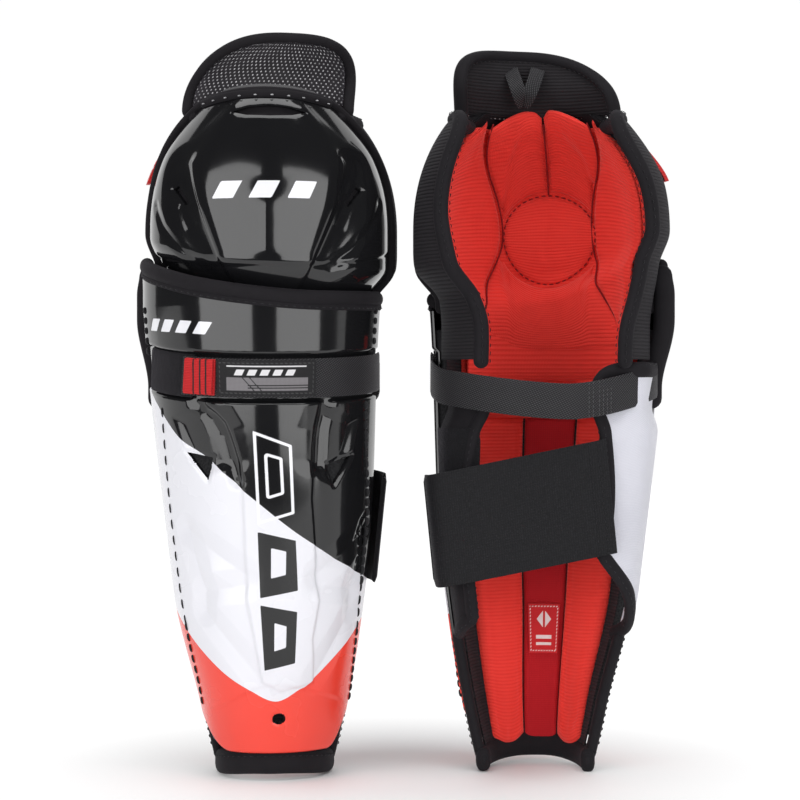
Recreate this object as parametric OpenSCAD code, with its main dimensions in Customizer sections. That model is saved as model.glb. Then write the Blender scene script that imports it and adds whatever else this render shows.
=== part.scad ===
// A pair of ice hockey shin guards, standing upright side by side: the first
// faces the viewer and the second is the same guard turned half round, so that
// its liner and straps show. Millimetres, +Z up, origin midway between the two
// guards on the surface that they stand on. Each guard is drawn in its own
// frame first: -Y is the front of the shin, -X the outer (lateral) side.

/* [Pair] */
// Distance of each guard's centre line from the origin
pair_half = 78; // [78:1:120]

/* [Shin shell] */
// Height of the shell's top edge at its middle
shin_top = 268; // [266:1:271]
// Outside radius at the ankle end
shin_r_bottom = 35.5; // [35:0.5:36.5]
// Radius that pulls the lower half of the profile outwards
shin_r_low = 58.5; // [57:0.5:59.5]
// Radius that pulls the upper half of the profile outwards
shin_r_high = 61.5; // [60:0.5:62]
// Outside radius under the padded roll
shin_r_top = 68; // [67:0.5:68]
// Wall of the moulded shells
shell_wall = 2.4; // [2:0.1:2.6]
// How far round the shell reaches on each side of the front, in degrees
shell_reach = 84; // [82:1:84]
// How far the crest of the shin is turned to the inner side, in degrees
crest_turn = 10; // [8:1:12]
// Radius of the lace hole at the ankle end
lace_hole_r = 3.2; // [2.5:0.1:3.5]

/* [Knee] */
// Half width of the knee cup
knee_half_w = 71.3; // [70:0.1:71.5]
// Reach of the knee cup in front of its centre line
knee_depth = 70; // [68:0.5:71]
// Height of the middle of the kneecap
knee_mid = 311; // [310:0.5:312]
// Top edge of the knee cup
knee_top = 385; // [383:0.5:387]
// Radius of the round kneecap pad
kneecap_r = 25.5; // [24:0.5:26]
// How far the liner's middle is turned to the outer side, in degrees
liner_turn = 7; // [0:1:7]

/* [Padding] */
// Thickness of the foam behind each shell
foam_wall = 4; // [3:0.5:4]
// Thickness of the sewn ribs of the shin liner
rib_wall = 12; // [10:0.5:12]
// Thickness of the knee liner's cushions at their crown
cushion_wall = 11; // [9:0.5:11]
// Radius of the padded roll at the top of the shin
roll_r = 5; // [4.5:0.1:5.2]

/* [Straps] */
// Width of the hook-and-loop web strap
web_w = 22; // [20:1:27]
// Thickness of the web strap
web_wall = 1.5; // [1.2:0.1:1.6]
// Width of the elastic calf strap
elastic_w = 64; // [60:1:68]
// Slant of the elastic calf strap, in degrees
elastic_slant = 12; // [8:1:13]
// Thickness of the elastic calf strap
elastic_wall = 2; // [1.5:0.1:2.2]

/* [Thigh flap] */
// Half width of the thigh flap
flap_half_w = 49; // [46:0.5:50]
// How far the flap's peak leans to the inner side
flap_lean = 9; // [0:1:12]
// Highest point of the thigh flap
flap_top = 422; // [418:1:425]
// Thickness of the flap's bound edge
flap_wall = 9; // [8:0.5:9]

/* [Hidden] */
$fn = 64;
gap = 0.3;                          // between neighbouring layers
foam_out = -shell_wall - gap;       // offsets from a shell's outer surface
foam_in = foam_out - foam_wall;
liner_out = foam_in - gap;
strap_mid = 228;                    // height of the web strap's middle
shell_low = 14;                     // the shin shell's lower edge
groove_half = web_w / 2 + 5;
groove_deep = 1.2;
roll_slope = 0.135;                 // rise of the shin's top edge to the outer side
roll_ring = 66.5;
roll_reach = 80;                    // how far round the padded roll goes, in degrees
roll_mid = shin_top + roll_r + 0.4;
tuck_deep = 12;                     // how far the knee cup's lower rim is drawn in,
tuck_from = 27;                     // from this far above the padded roll,
tuck_run = 30;                      // over this height
width_fade = [95, 2.4, 0.5];        // height above the kneecap where the cup's width would end,
depth_fade = [110, 2.5, 0.4];       // and its depth, and the two powers of each fade
knee_foam_out = -shell_wall - 1;
knee_foam_in = -6;
knee_foam_low = 250;
cushion_low = 252;
kneecap_mid = knee_mid - 5;
kneecap_back = -45;
shin_liner_high = 206;              // the shin liner's ribs end here
upper_cushion_high = 244;
binding_reach = 96;                 // how far round the ankle binding goes, in degrees
wing_low = 78;                      // calf wings' lower and upper ends
wing_high = 204;
wing_out = -2.5;
wing_wall = 4;
outer_wing_reach = 146;             // how far round each calf wing goes, in degrees
inner_wing_reach = 138;
wing_curl = 116;                    // the wings curl inwards from here,
outer_curl_r = 49.5;                // to these radii
inner_curl_r = 43.5;
wing_flare = 10;                    // how far the knee wings stand out behind the cup
knee_wing_low = 246;
outer_wing_high = 380;
inner_wing_high = 372;
stitch_low = 43;
stitch_high = 196;
stitch_pitch = 9;
stitch_size = [1.2, 1, 6];
flap_low = 380;                     // the thigh flap's lower edge
cut = 200;                          // larger than any part, for cutting blocks

black = [0.05, 0.05, 0.06];
soft_black = [0.1, 0.1, 0.11];
white = [0.93, 0.93, 0.95];
red = [0.85, 0.12, 0.1];
grey = [0.5, 0.48, 0.5];

PIECES = ["shin_shell", "shin_foam", "shin_ribs", "shin_channel", "upper_shin_cushion",
          "ankle_binding", "shin_top_roll", "liner_label", "shell_stitching",
          "strap_loop_patch", "rear_web_strap", "front_web_strap", "strap_label",
          "strap_pull_tab", "outer_calf_wing", "inner_calf_wing", "calf_loop_patch",
          "elastic_strap", "elastic_hook_tab", "knee_shell", "knee_foam",
          "knee_side_cushions", "knee_top_cushions", "kneecap_pad", "outer_knee_wing",
          "inner_knee_wing", "side_tab", "thigh_flap", "thigh_flap_binding", "pull_loop"];

// ---- profiles ------------------------------------------------------------

function bezier(a, b, c, d, t) =
    a * (1 - t) ^ 3 + 3 * b * t * (1 - t) ^ 2 + 3 * c * t ^ 2 * (1 - t) + d * t ^ 3;
function clamp(v) = min(1, max(0, v));
function smooth(v) = let (c = clamp(v)) c * c * (3 - 2 * c);
function lerp(a, b, t) = a + (b - a) * t;

// Outside radius of the shin at height z.
function shin_r(z) = bezier(shin_r_bottom, shin_r_low, shin_r_high, shin_r_top, clamp(z / shin_top));
// The shell's own surface, with the shallow groove that the web strap lies in.
function groove(z) = clamp((groove_half - abs(z - strap_mid)) / 3) * groove_deep;

// The knee cup's width and depth fade towards its top as superellipses.
function dome(z, half, fade) = half * (1 - clamp((z - knee_mid) / fade[0]) ^ fade[1]) ^ fade[2];
function roll_z(t) = roll_mid - roll_slope * roll_ring * sin(t);
// The lower rim of the knee cup is drawn in, so that it tucks behind the padded roll.
function tuck(t, z) = tuck_deep * smooth((roll_z(t) + tuck_from - z) / tuck_run);
function knee_point(t, z, o) =
    let (a = dome(z, knee_half_w, width_fade) + o - tuck(t, z),
         b = dome(z, knee_depth, depth_fade) + o - tuck(t, z))
    [a * sin(t), -b * cos(t), z];
// How far round the knee cup reaches at height z: its rim runs forward as it rises.
function knee_reach(z) = 91 - 41 * clamp((z - 330) / 60) ^ 1.8;

// ---- shape tools ---------------------------------------------------------

// Round band of the shin between two offsets from its surface, from angle t0 to t1.
module band(z0, z1, o_in, o_out, t0, t1, steps = 6, grooved = 0) {
    zs = [for (i = [0:steps]) lerp(z0, z1, i / steps)];
    outer = [for (z = zs) [shin_r(z) + o_out - grooved * groove(z), z]];
    inner = [for (i = [steps:-1:0]) [shin_r(zs[i]) + o_in, zs[i]]];
    rotate([0, 0, t0 - 90]) rotate_extrude(angle = t1 - t0) polygon(concat(outer, inner));
}

// Closed sheet between two surfaces, each given as a function of u and v from 0 to 1.
module sheet(outer, inner, nu, nv) {
    w = nu + 1;
    n = w * (nv + 1);
    points = concat([for (j = [0:nv]) for (i = [0:nu]) outer(i / nu, j / nv)],
                    [for (j = [0:nv]) for (i = [0:nu]) inner(i / nu, j / nv)]);
    faces = concat(
        [for (j = [0:nv - 1]) for (i = [0:nu - 1]) let (a = j * w + i) each
            [[a, a + w, a + 1], [a + 1, a + w, a + w + 1],
             [n + a, n + a + 1, n + a + w], [n + a + 1, n + a + w + 1, n + a + w]]],
        [for (i = [0:nu - 1]) let (a = i, b = nv * w + i) each
            [[a, a + 1, n + a], [a + 1, n + a + 1, n + a],
             [b, n + b, b + 1], [b + 1, n + b, n + b + 1]]],
        [for (j = [0:nv - 1]) let (a = j * w, b = j * w + nu) each
            [[a, n + a, a + w], [a + w, n + a, n + a + w],
             [b, b + w, n + b], [b + w, n + b + w, n + b]]]);
    polyhedron(points, faces);
}

// Sheet of the knee between offsets o_in and o_out, over the angles t0(z) to t1(z) and the
// heights z0(u) to z1(u); its inner side is crowned by that much.
module knee_sheet(o_in, o_out, t0, t1, z0, z1, nu, nv, crown = 0) {
    at = function(u, v, o) let (z = lerp(z0(u), z1(u), v)) knee_point(lerp(t0(z), t1(z), u), z, o);
    sheet(function(u, v) at(u, v, o_out),
          function(u, v) at(u, v, o_in - crown * (sin(180 * u) * sin(180 * v)) ^ 0.6), nu, nv);
}

// Flat-sided ribbon that follows a path of [x, y] points, with its thickness to the left.
module ribbon(path, wall, z0, z1) {
    n = len(path) - 1;
    side = [for (i = [0:n]) let (d = path[min(n, i + 1)] - path[max(0, i - 1)])
            path[i] + wall * [-d[1], d[0]] / norm(d)];
    translate([0, 0, z0]) linear_extrude(z1 - z0)
        polygon(concat(path, [for (i = [n:-1:0]) side[i]]));
}

// Block above a plane that rises to the outer side, as the top of the shin does.
module above_slope(z) {
    translate([0, 0, z]) rotate([0, atan(roll_slope), 0])
        translate([-cut, -cut, 0]) cube([2 * cut, 2 * cut, cut]);
}

// Three-cornered vent through the shin shell at angle t; side is 1 or -1.
module vent(t, side) {
    rotate([0, 0, t]) translate([0, -40, 176.5]) rotate([90, 0, 0]) linear_extrude(40)
        polygon([[side * 11, 8.5], [side * -6, 4], [side * -4, -8]]);
}

// ---- shin ----------------------------------------------------------------

module lace_hole(r) {
    rotate([0, 0, crest_turn]) translate([0, -60, 36]) rotate([-90, 0, 0]) cylinder(r = r, h = 40);
}

module shin_shell() {
    color(white) difference() {
        union() {
            band(shell_low, strap_mid - groove_half, -shell_wall, 0, -shell_reach, shell_reach);
            band(strap_mid - groove_half, strap_mid + groove_half, -shell_wall, 0,
                 -shell_reach, shell_reach, 12, 1);
            band(strap_mid + groove_half, shin_top + 16, -shell_wall, 0, -shell_reach, shell_reach, 3);
        }
        above_slope(shin_top);
        vent(-34, -1);
        vent(42, 1);
        lace_hole(lace_hole_r);
    }
}

module shin_foam() {
    color(soft_black) difference() {
        band(shell_low + 6, shin_top - 12, foam_in, foam_out, 2 - shell_reach, shell_reach - 2);
        lace_hole(lace_hole_r + 1);
    }
}

module shin_ribs() {
    color(red) rotate([0, 0, -liner_turn]) for (s = [-1, 1])
        band(shell_low + 6, shin_liner_high, liner_out - rib_wall, liner_out,
             s > 0 ? 14 : -58, s > 0 ? 58 : -14);
}

module shin_channel() {
    color(red) rotate([0, 0, -liner_turn])
        band(shell_low + 4, shin_liner_high, liner_out - 4, liner_out, -13.5, 13.5);
}

module upper_shin_cushion() {
    color(red) band(shin_liner_high + 1, upper_cushion_high, liner_out - 8, liner_out, -62, 62, 3);
}

// The bound end that the guard stands on, and the rolled edges that rise from it.
module ankle_binding() {
    color(soft_black) {
        band(0, shell_low - gap, -9, -0.6, -binding_reach, binding_reach, 2);
        for (s = [-1, 1])
            band(shell_low, wing_low - 2, -7.5, -0.8, s > 0 ? shell_reach + 2 : -binding_reach,
                 s > 0 ? binding_reach : -shell_reach - 2, 3);
    }
}

module shin_top_roll() {
    color(soft_black) translate([0, 0, roll_mid]) rotate([0, atan(roll_slope), 0])
        rotate([0, 0, -roll_reach - 90]) rotate_extrude(angle = 2 * roll_reach)
            translate([roll_ring, 0]) circle(roll_r);
}

module liner_label() {
    color(red) rotate([0, 0, -liner_turn]) band(64, 93, liner_out - 5.1, liner_out - 4.2, -9, 9, 1);
}

// Long stitches that hold the shell to its liner, one row near each side edge.
module shell_stitching() {
    color(black) for (s = [-1, 1]) for (z = [stitch_low:stitch_pitch:stitch_high])
        rotate([0, 0, s * (shell_reach - 5)])
            translate([-stitch_size[0] / 2, -shin_r(z) - 1.5, z - stitch_size[2] / 2])
                cube(stitch_size);
}

// ---- web strap -----------------------------------------------------------

module strap_loop_patch() {
    color(soft_black) band(strap_mid - web_w / 2 - 1, strap_mid + web_w / 2 + 1,
                           -0.9, 0.4, -shell_reach + 1, -38, 2);
}

module front_web_strap() {
    color(black) band(strap_mid - web_w / 2, strap_mid + web_w / 2,
                      0.7, 0.7 + web_wall, -48, 86, 2);
}

module strap_label() {
    color(grey) band(strap_mid - web_w / 2 + 1.5, strap_mid + web_w / 2 - 1.5,
                     0.9 + web_wall, 1.8 + web_wall, -25, 21, 2);
}

module strap_pull_tab() {
    color(red) band(strap_mid - web_w / 2 - 1, strap_mid + web_w / 2,
                    0.9 + web_wall, 2.6 + web_wall, -47, -28, 2);
}

module rear_web_strap() {
    path = [for (t = [91:8.9:269]) [67 * sin(t), -50 * cos(t)]];
    color(black) ribbon(path, web_wall, 208, 231);
}

// ---- calf wings and elastic strap ----------------------------------------

// A calf wing's sheet between two offsets: it follows the shin at first, and its free part
// curls in to one radius, under the elastic strap. side is -1 for the outer wing.
module calf_sheet(side, o_in, o_out, t0, t1, z0, z1, curled) {
    at = function(u, v, o) let (t = lerp(t0, t1, u), z = lerp(z0, z1, v),
        k = smooth((t - wing_curl + (side > 0 ? 8 : 0)) / 30),
        r = lerp(shin_r(z) + wing_out, curled, k) + o - wing_out)
        [side * r * sin(t), -r * cos(t), z];
    steps = ceil((t1 - t0) / 6);
    if (side > 0)
        sheet(function(u, v) at(u, v, o_out), function(u, v) at(u, v, o_in), steps, 5);
    else
        sheet(function(u, v) at(1 - u, v, o_out), function(u, v) at(1 - u, v, o_in), steps, 5);
}

module outer_calf_wing() {
    color(white) calf_sheet(-1, wing_out - wing_wall, wing_out, shell_reach + 2, outer_wing_reach,
                            wing_low, wing_high, outer_curl_r);
}

module inner_calf_wing() {
    color(soft_black) calf_sheet(1, wing_out - wing_wall, wing_out, shell_reach + 2,
                                 inner_wing_reach, wing_low, wing_high, inner_curl_r);
}

module calf_loop_patch() {
    color(black) calf_sheet(1, wing_out + 0.6, wing_out + 1.6, 98, 134,
                            wing_low + 34, wing_high - 8, inner_curl_r);
}

elastic_mid = 156;                  // height of the elastic strap's middle
elastic_path = [[-41, 43], [-8, 39.7], [25, 36.5], [56, 34], [60.5, 30.5], [63, 24], [64, 14]];

module slanted() {
    translate([0, 0, elastic_mid]) rotate([0, elastic_slant, 0]) translate([0, 0, -elastic_mid])
        children();
}

module elastic_strap() {
    color(black) slanted() ribbon(elastic_path, elastic_wall,
                                  elastic_mid - elastic_w / 2, elastic_mid + elastic_w / 2);
}

module elastic_hook_tab() {
    color(soft_black) slanted()
        ribbon([[64.1, 13.5], [64.2, 4], [64, -6]], elastic_wall + 0.4,
               elastic_mid + 2 - elastic_w / 2, elastic_mid - 2 + elastic_w / 2);
}

// ---- knee ----------------------------------------------------------------

module knee_shell() {
    color(black) difference() {
        knee_sheet(-shell_wall, 0, function(z) -knee_reach(z), function(z) knee_reach(z),
                   function(u) roll_z(lerp(-91, 91, u)) - 3, function(u) knee_top, 22, 16);
        rotate([0, 0, 2]) translate([-24, -80, knee_top - 12]) cube([48, 50, 4.5]);
        for (s = [-1, 1])
            rotate([0, 0, s > 0 ? 48 : -43]) translate([0, -40, knee_mid + 17]) rotate([0, s * -35, 0])
                translate([-2, -50, -6]) cube([4, 50, 12]);
    }
}

// Foam behind the knee cup; its bound edge stands out round the cup's rim.
module knee_foam() {
    color(soft_black) knee_sheet(knee_foam_in, knee_foam_out,
        function(z) -knee_reach(z) - 1.5, function(z) knee_reach(z) + 1.5,
        function(u) knee_foam_low, function(u) flap_low - 1.5, 18, 18);
}

// Angle of the seam beside the kneecap pad, which is nearest to it at the pad's middle.
function seam_t(z) = 27 + 8 * smooth(abs(z - knee_mid + 4) / 60);

module knee_side_cushions() {
    color(red) for (s = [-1, 1])
        knee_sheet(liner_out - 4, liner_out,
            function(z) s > 0 ? seam_t(z) + 1 - liner_turn : -knee_reach(z) + 6,
            function(z) s > 0 ? knee_reach(z) - 6 : -seam_t(z) - 1 - liner_turn,
            function(u) cushion_low, function(u) let (e = s > 0 ? u : 1 - u) lerp(371, 348, e * e),
            7, 16, cushion_wall - 4);
}

// Two cushions above the kneecap pad and one below it, inside the seams.
module knee_top_cushions() {
    arch = function(t) kneecap_mid + sqrt(max(0, (kneecap_r + 1.5) ^ 2 - (64 * sin(t)) ^ 2));
    turn = liner_turn;
    color(red) {
        for (s = [-1, 1])
            knee_sheet(liner_out - 4, liner_out,
                function(z) (s > 0 ? 0.7 : -seam_t(z) + 0.2) - turn,
                function(z) (s > 0 ? seam_t(z) - 0.2 : -0.7) - turn,
                function(u) arch(s > 0 ? lerp(0.7, 25, u) : lerp(25, 0.7, u)) + 0.5, function(u) 377,
                6, 7, cushion_wall - 5);
        knee_sheet(liner_out - 4, liner_out,
            function(z) -seam_t(z) + 0.2 - turn, function(z) seam_t(z) - 0.2 - turn,
            function(u) cushion_low, function(u) 2 * kneecap_mid - arch(lerp(-25, 25, u)) - 0.5,
            10, 8, cushion_wall - 6);
    }
}

module kneecap_pad() {
    color(red) rotate([0, 0, -liner_turn]) translate([0, kneecap_back, kneecap_mid])
        rotate([90, 0, 0]) cylinder(r = kneecap_r, h = 7.5);
}

// A padded wing beside the knee; side is -1 for the outer wing and 1 for the inner one.
module knee_wing(side, high) {
    far = function(z) lerp(108, 122, smooth((z - knee_wing_low) / 50)) - 8 * smooth((z - 350) / 30);
    near = function(z) knee_reach(min(z, 335)) + 3.5;
    at = function(u, v, o) let (z = lerp(knee_wing_low, high, v),
        k = side > 0 ? u : 1 - u,
        t = lerp(near(z), far(z), k))
        knee_point(side * t, z, o + wing_flare * clamp((t - 90) / 36) ^ 1.3);
    color(soft_black) sheet(function(u, v) at(u, v, -1), function(u, v) at(u, v, -9), 5, 14);
}

module outer_knee_wing() { knee_wing(-1, outer_wing_high); }
module inner_knee_wing() { knee_wing(1, inner_wing_high); }

module side_tab() {
    at = function(u, v, o) let (t = lerp(103, 96, u))
        knee_point(-t, lerp(345, 371, v), o + wing_flare * clamp((t - 90) / 36) ^ 1.3);
    color(red) sheet(function(u, v) at(u, v, 0.6), function(u, v) at(u, v, -0.7), 1, 4);
}

// ---- thigh flap ----------------------------------------------------------

flap_axis = 18;     // the flap is bent round an upright line this far behind the centre
flap_r = 58;

// Outline of the flap as seen from the front, drawn in by that much.
module flap_outline(inset) {
    w = flap_half_w - inset;
    h = flap_top - flap_low - 2 * inset;
    points = [for (a = [0:10:180]) let (c = cos(a), s = sin(a))
              [w * sign(c) * abs(c) ^ 0.7 + flap_lean * s ^ 0.8, h * s ^ 0.8]];
    translate([-0.04 * inset, -cut, flap_low + inset]) rotate([90, 0, 0])
        translate([0, 0, -2 * cut]) linear_extrude(2 * cut) polygon(points);
}

module flap_layer(inset, front, back) {
    intersection() {
        translate([0, flap_axis, flap_low - 5]) difference() {
            cylinder(r = flap_r - front, h = 60);
            translate([0, 0, -1]) cylinder(r = flap_r - back, h = 62);
        }
        translate([-cut, -cut, 0]) cube([2 * cut, cut + flap_axis - 20, cut * 3]);
        flap_outline(inset);
    }
}

module thigh_flap() {
    color(soft_black) flap_layer(5.2, 1.5, flap_wall - 1.5);
}

module thigh_flap_binding() {
    color(black) difference() {
        flap_layer(0, 0, flap_wall);
        flap_outline(5);
    }
}

// Ribbon loop behind the flap, that pulls the guard on: it stands out as a low arch.
module pull_loop() {
    arch = [for (a = [0:15:180]) [6 * sin(a), 405 + 12 * cos(a)]];
    color(black) translate([9, flap_axis - flap_r + flap_wall + 1.5, 0]) rotate([90, 0, 90])
        ribbon(arch, 1.2, -5, 5);
}

// ---- assembly ------------------------------------------------------------

module piece(name) {
    if (name == "shin_shell") shin_shell();
    if (name == "shin_foam") shin_foam();
    if (name == "shin_ribs") shin_ribs();
    if (name == "shin_channel") shin_channel();
    if (name == "upper_shin_cushion") upper_shin_cushion();
    if (name == "ankle_binding") ankle_binding();
    if (name == "shin_top_roll") shin_top_roll();
    if (name == "liner_label") liner_label();
    if (name == "shell_stitching") shell_stitching();
    if (name == "strap_loop_patch") strap_loop_patch();
    if (name == "rear_web_strap") rear_web_strap();
    if (name == "front_web_strap") front_web_strap();
    if (name == "strap_label") strap_label();
    if (name == "strap_pull_tab") strap_pull_tab();
    if (name == "outer_calf_wing") outer_calf_wing();
    if (name == "inner_calf_wing") inner_calf_wing();
    if (name == "calf_loop_patch") calf_loop_patch();
    if (name == "elastic_strap") elastic_strap();
    if (name == "elastic_hook_tab") elastic_hook_tab();
    if (name == "knee_shell") knee_shell();
    if (name == "knee_foam") knee_foam();
    if (name == "knee_side_cushions") knee_side_cushions();
    if (name == "knee_top_cushions") knee_top_cushions();
    if (name == "kneecap_pad") kneecap_pad();
    if (name == "outer_knee_wing") outer_knee_wing();
    if (name == "inner_knee_wing") inner_knee_wing();
    if (name == "side_tab") side_tab();
    if (name == "thigh_flap") thigh_flap();
    if (name == "thigh_flap_binding") thigh_flap_binding();
    if (name == "pull_loop") pull_loop();
}

for (p = PIECES) {
    translate([-pair_half, 0, 0]) piece(p);
    rotate([0, 0, 180]) translate([-pair_half, 0, 0]) piece(p);
}
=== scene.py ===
"""Looks of a pair of ice hockey shin guards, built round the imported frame.

Every piece is made once in the guard's own frame, in millimetres (-Y is the front of the shin,
-X its outer side and Z up), and is placed twice: as it is, and turned half round. Places on the
shin and on the knee are given as an angle from the front, in degrees, and a height.
"""
import math

import bmesh
import bpy
import numpy as np
from mathutils import Matrix, Vector


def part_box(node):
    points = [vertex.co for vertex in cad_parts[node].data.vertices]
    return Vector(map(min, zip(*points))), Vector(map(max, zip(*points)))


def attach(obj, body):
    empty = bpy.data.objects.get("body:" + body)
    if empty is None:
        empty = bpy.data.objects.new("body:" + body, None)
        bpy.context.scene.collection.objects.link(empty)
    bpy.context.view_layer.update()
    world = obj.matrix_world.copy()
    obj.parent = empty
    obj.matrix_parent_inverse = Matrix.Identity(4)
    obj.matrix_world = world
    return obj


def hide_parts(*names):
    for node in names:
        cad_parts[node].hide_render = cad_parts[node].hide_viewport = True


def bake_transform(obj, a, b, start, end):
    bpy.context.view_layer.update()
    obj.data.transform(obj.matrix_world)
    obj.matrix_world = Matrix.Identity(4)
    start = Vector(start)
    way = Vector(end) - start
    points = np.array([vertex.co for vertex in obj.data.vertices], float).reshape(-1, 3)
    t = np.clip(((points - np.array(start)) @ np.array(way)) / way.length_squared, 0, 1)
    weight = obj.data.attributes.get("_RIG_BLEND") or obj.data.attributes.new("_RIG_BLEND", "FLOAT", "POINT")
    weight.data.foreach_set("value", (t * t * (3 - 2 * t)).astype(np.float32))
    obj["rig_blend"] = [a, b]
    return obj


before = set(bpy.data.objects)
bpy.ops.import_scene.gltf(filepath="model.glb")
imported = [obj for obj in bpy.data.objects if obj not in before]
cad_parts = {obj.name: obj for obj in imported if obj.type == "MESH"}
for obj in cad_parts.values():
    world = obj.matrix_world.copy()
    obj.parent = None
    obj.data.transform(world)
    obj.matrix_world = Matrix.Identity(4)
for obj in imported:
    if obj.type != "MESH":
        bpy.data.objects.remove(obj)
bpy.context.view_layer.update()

MM = 0.001


def cad_mm(node):
    """Lowest and highest corner of the first guard's node, in that guard's own frame."""
    lo, hi = (np.array(corner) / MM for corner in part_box("front_" + node))
    return lo + [HALF, 0, 0], hi + [HALF, 0, 0]


# ---- the frame's sizes ----------------------------------------------------

HALF = -sum(corner.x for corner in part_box("front_shin_shell")) / 2 / MM
SHIN_R = (35.5, 58.5, 61.5, 68)             # control radii of the shin, bottom to top
SHIN_TOP = 268
KNEE_MID = 311
KNEE_HALF_W = 71.3
KNEE_DEPTH = 70
KNEE_TOP = cad_mm("knee_shell")[1][2]
STRAP_MID = sum(c[2] for c in cad_mm("front_web_strap")) / 2
WING_LOW, WING_HIGH = (c[2] for c in cad_mm("outer_calf_wing"))
FLAP_TOP = cad_mm("thigh_flap_binding")[1][2]
SHELL_WALL = 2.4
LINER_OUT = -7.0                            # offset of the liner's back from the shells


def ramp(x, a, b):
    """0 where x is before a, 1 after b, and smooth between."""
    t = np.clip((np.asarray(x, float) - a) / (b - a), 0, 1)
    return t * t * (3 - 2 * t)


def rounding(x, start, run, depth):
    """How far a rounded corner has drawn in at x: 0 up to the start, and its full depth after the run."""
    return depth * (1 - np.sqrt(1 - np.clip((x - start) / run, 0, 1) ** 2))


def bezier(a, b, c, d, t):
    return a * (1 - t) ** 3 + 3 * b * t * (1 - t) ** 2 + 3 * c * t**2 * (1 - t) + d * t**3


def lerp(a, b, t):
    return a + (b - a) * t


def shin_r(z):
    return bezier(*SHIN_R, np.clip(np.asarray(z, float) / SHIN_TOP, 0, 1))


def roll_z(t):
    """Height of the padded roll's middle: it climbs to the outer side."""
    return 0.8 + height_of([(-95, 293), (-85, 291.6), (-55, 284.6), (-27.5, 277.6), (0, 272.8),
                            (27, 270.6), (62, 271.3), (95, 273)], np.asarray(t, float))


def lean(z):
    """The shin's upper end leans to the outer side."""
    return -4.5 * ramp(z, 110, 268)


def turn(z):
    """Angle that makes up for the lean, for what faces forwards."""
    return np.degrees(-lean(z) / shin_r(z))


def around(t, z, a, b):
    """Points at angle t on an oval of half width a and depth b."""
    s, c = np.sin(np.radians(t)), np.cos(np.radians(t))
    return np.stack(np.broadcast_arrays(a * s, -b * c, z), -1).astype(float)


def pinch(t, z):
    """The ankle is narrower on its outer side."""
    return 5.4 * (1 - ramp(z, 36, 106)) * ramp(-np.asarray(t, float), 0, 80)


def shin_at(t, z, off=0.0):
    """A point of the shin at an angle, a height and an offset from the shell's outside."""
    r = shin_r(z) + off
    p = around(t, z, r, r)
    p[..., 0] += lean(p[..., 2]) + pinch(t, p[..., 2])
    return p


def shin_facing(t, z, off=0.0):
    """The same, with the angle counted from where the leaning shin faces forwards."""
    return shin_at(t + turn(z), z, off)


def dome(z, half, fade):
    """Half size of the cup at height z. The fade is where it would end over the kneecap's
    middle, and the two powers of its curve."""
    reach, rise_power, power = fade
    rise = np.clip(z - KNEE_MID, 0, None) / reach
    return half * np.clip(1 - rise**rise_power, 0, 1) ** power


def knee_at(t, z, off=0.0):
    """A point of the knee cup, whose lower rim tucks in behind the padded roll."""
    z = np.asarray(z, float)
    a, b = dome(z, KNEE_HALF_W, (95, 2.2, 0.62)), dome(z, KNEE_DEPTH, (110, 2.5, 0.4))
    tuck = (12 - 6 * ramp(-np.asarray(t, float), 30, 90)) * ramp(roll_z(t) + 18 - z, 0, 20)
    return around(t, z, a + off - tuck, b + off - tuck)


def knee_reach(z):
    """How far round the knee cup goes at height z."""
    return 91 - 41 * np.clip((np.asarray(z, float) - 330) / 60, 0, 1) ** 1.8


# ---- drawing on a surface -------------------------------------------------

def beside(x, y, line):
    """Distance to an open line of points."""
    nearest = np.full(np.shape(x), np.inf)
    for (ax, ay), (bx, by) in zip(line, line[1:]):
        dx, dy = bx - ax, by - ay
        k = np.clip(((x - ax) * dx + (y - ay) * dy) / (dx * dx + dy * dy), 0, 1)
        nearest = np.minimum(nearest, np.hypot(x - ax - k * dx, y - ay - k * dy))
    return nearest


def inside(x, y, outline):
    """Signed distance to a closed outline, positive inside."""
    ring = [*outline, outline[0]]
    crossings = np.zeros(np.shape(x), int)
    for (ax, ay), (bx, by) in zip(ring, ring[1:]):
        if by != ay:
            crossings += ((ay > y) != (by > y)) & (x < (bx - ax) * (y - ay) / (by - ay) + ax)
    return np.where(crossings % 2 == 1, 1, -1) * beside(x, y, ring)


def curve(points, n=12):
    """Smooth line through the points (Catmull-Rom), n steps to a stretch."""
    p = np.array(points, float)
    p = np.vstack([2 * p[0] - p[1], p, 2 * p[-1] - p[-2]])
    out = []
    for a, b, c, d in zip(p, p[1:], p[2:], p[3:]):
        t = np.linspace(0, 1, n, endpoint=False)[:, None]
        out.append(0.5 * (2 * b + (c - a) * t + (2 * a - 5 * b + 4 * c - d) * t**2
                          + (3 * b - 3 * c + d - a) * t**3))
    return np.vstack([*out, p[-2:-1]])


def height_of(points, x):
    """The height at x of a smooth line through the points."""
    line = curve(points)
    return np.interp(x, line[:, 0], line[:, 1])


def evenly(path, step):
    """Points a set step apart along a path."""
    path = np.asarray(path, float)
    along = distances(path)
    n = max(2, int(round(along[-1] / step)) + 1)
    s = np.linspace(0, along[-1], n)
    return np.stack([np.interp(s, along, path[:, k]) for k in range(path.shape[1])], -1)


def distances(path):
    """How far along the path each of its points is."""
    return np.concatenate([[0], np.cumsum(np.linalg.norm(np.diff(path, axis=0), axis=1))])


def unit(v):
    return v / np.maximum(np.linalg.norm(v, axis=-1, keepdims=True), 1e-9)


def outward(path):
    """Level normals that point away from the guard's upright line."""
    n = np.array(path, float)
    n[:, 2] = 0
    return unit(n)


# ---- meshes ---------------------------------------------------------------

CAP_RINGS = 4                               # rings in the round end of a sweep
STITCH_RINGS = 6                            # rings along a stitch, and points round it
PUFF_FRAMES = 20                            # length of the cloth simulation


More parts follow.
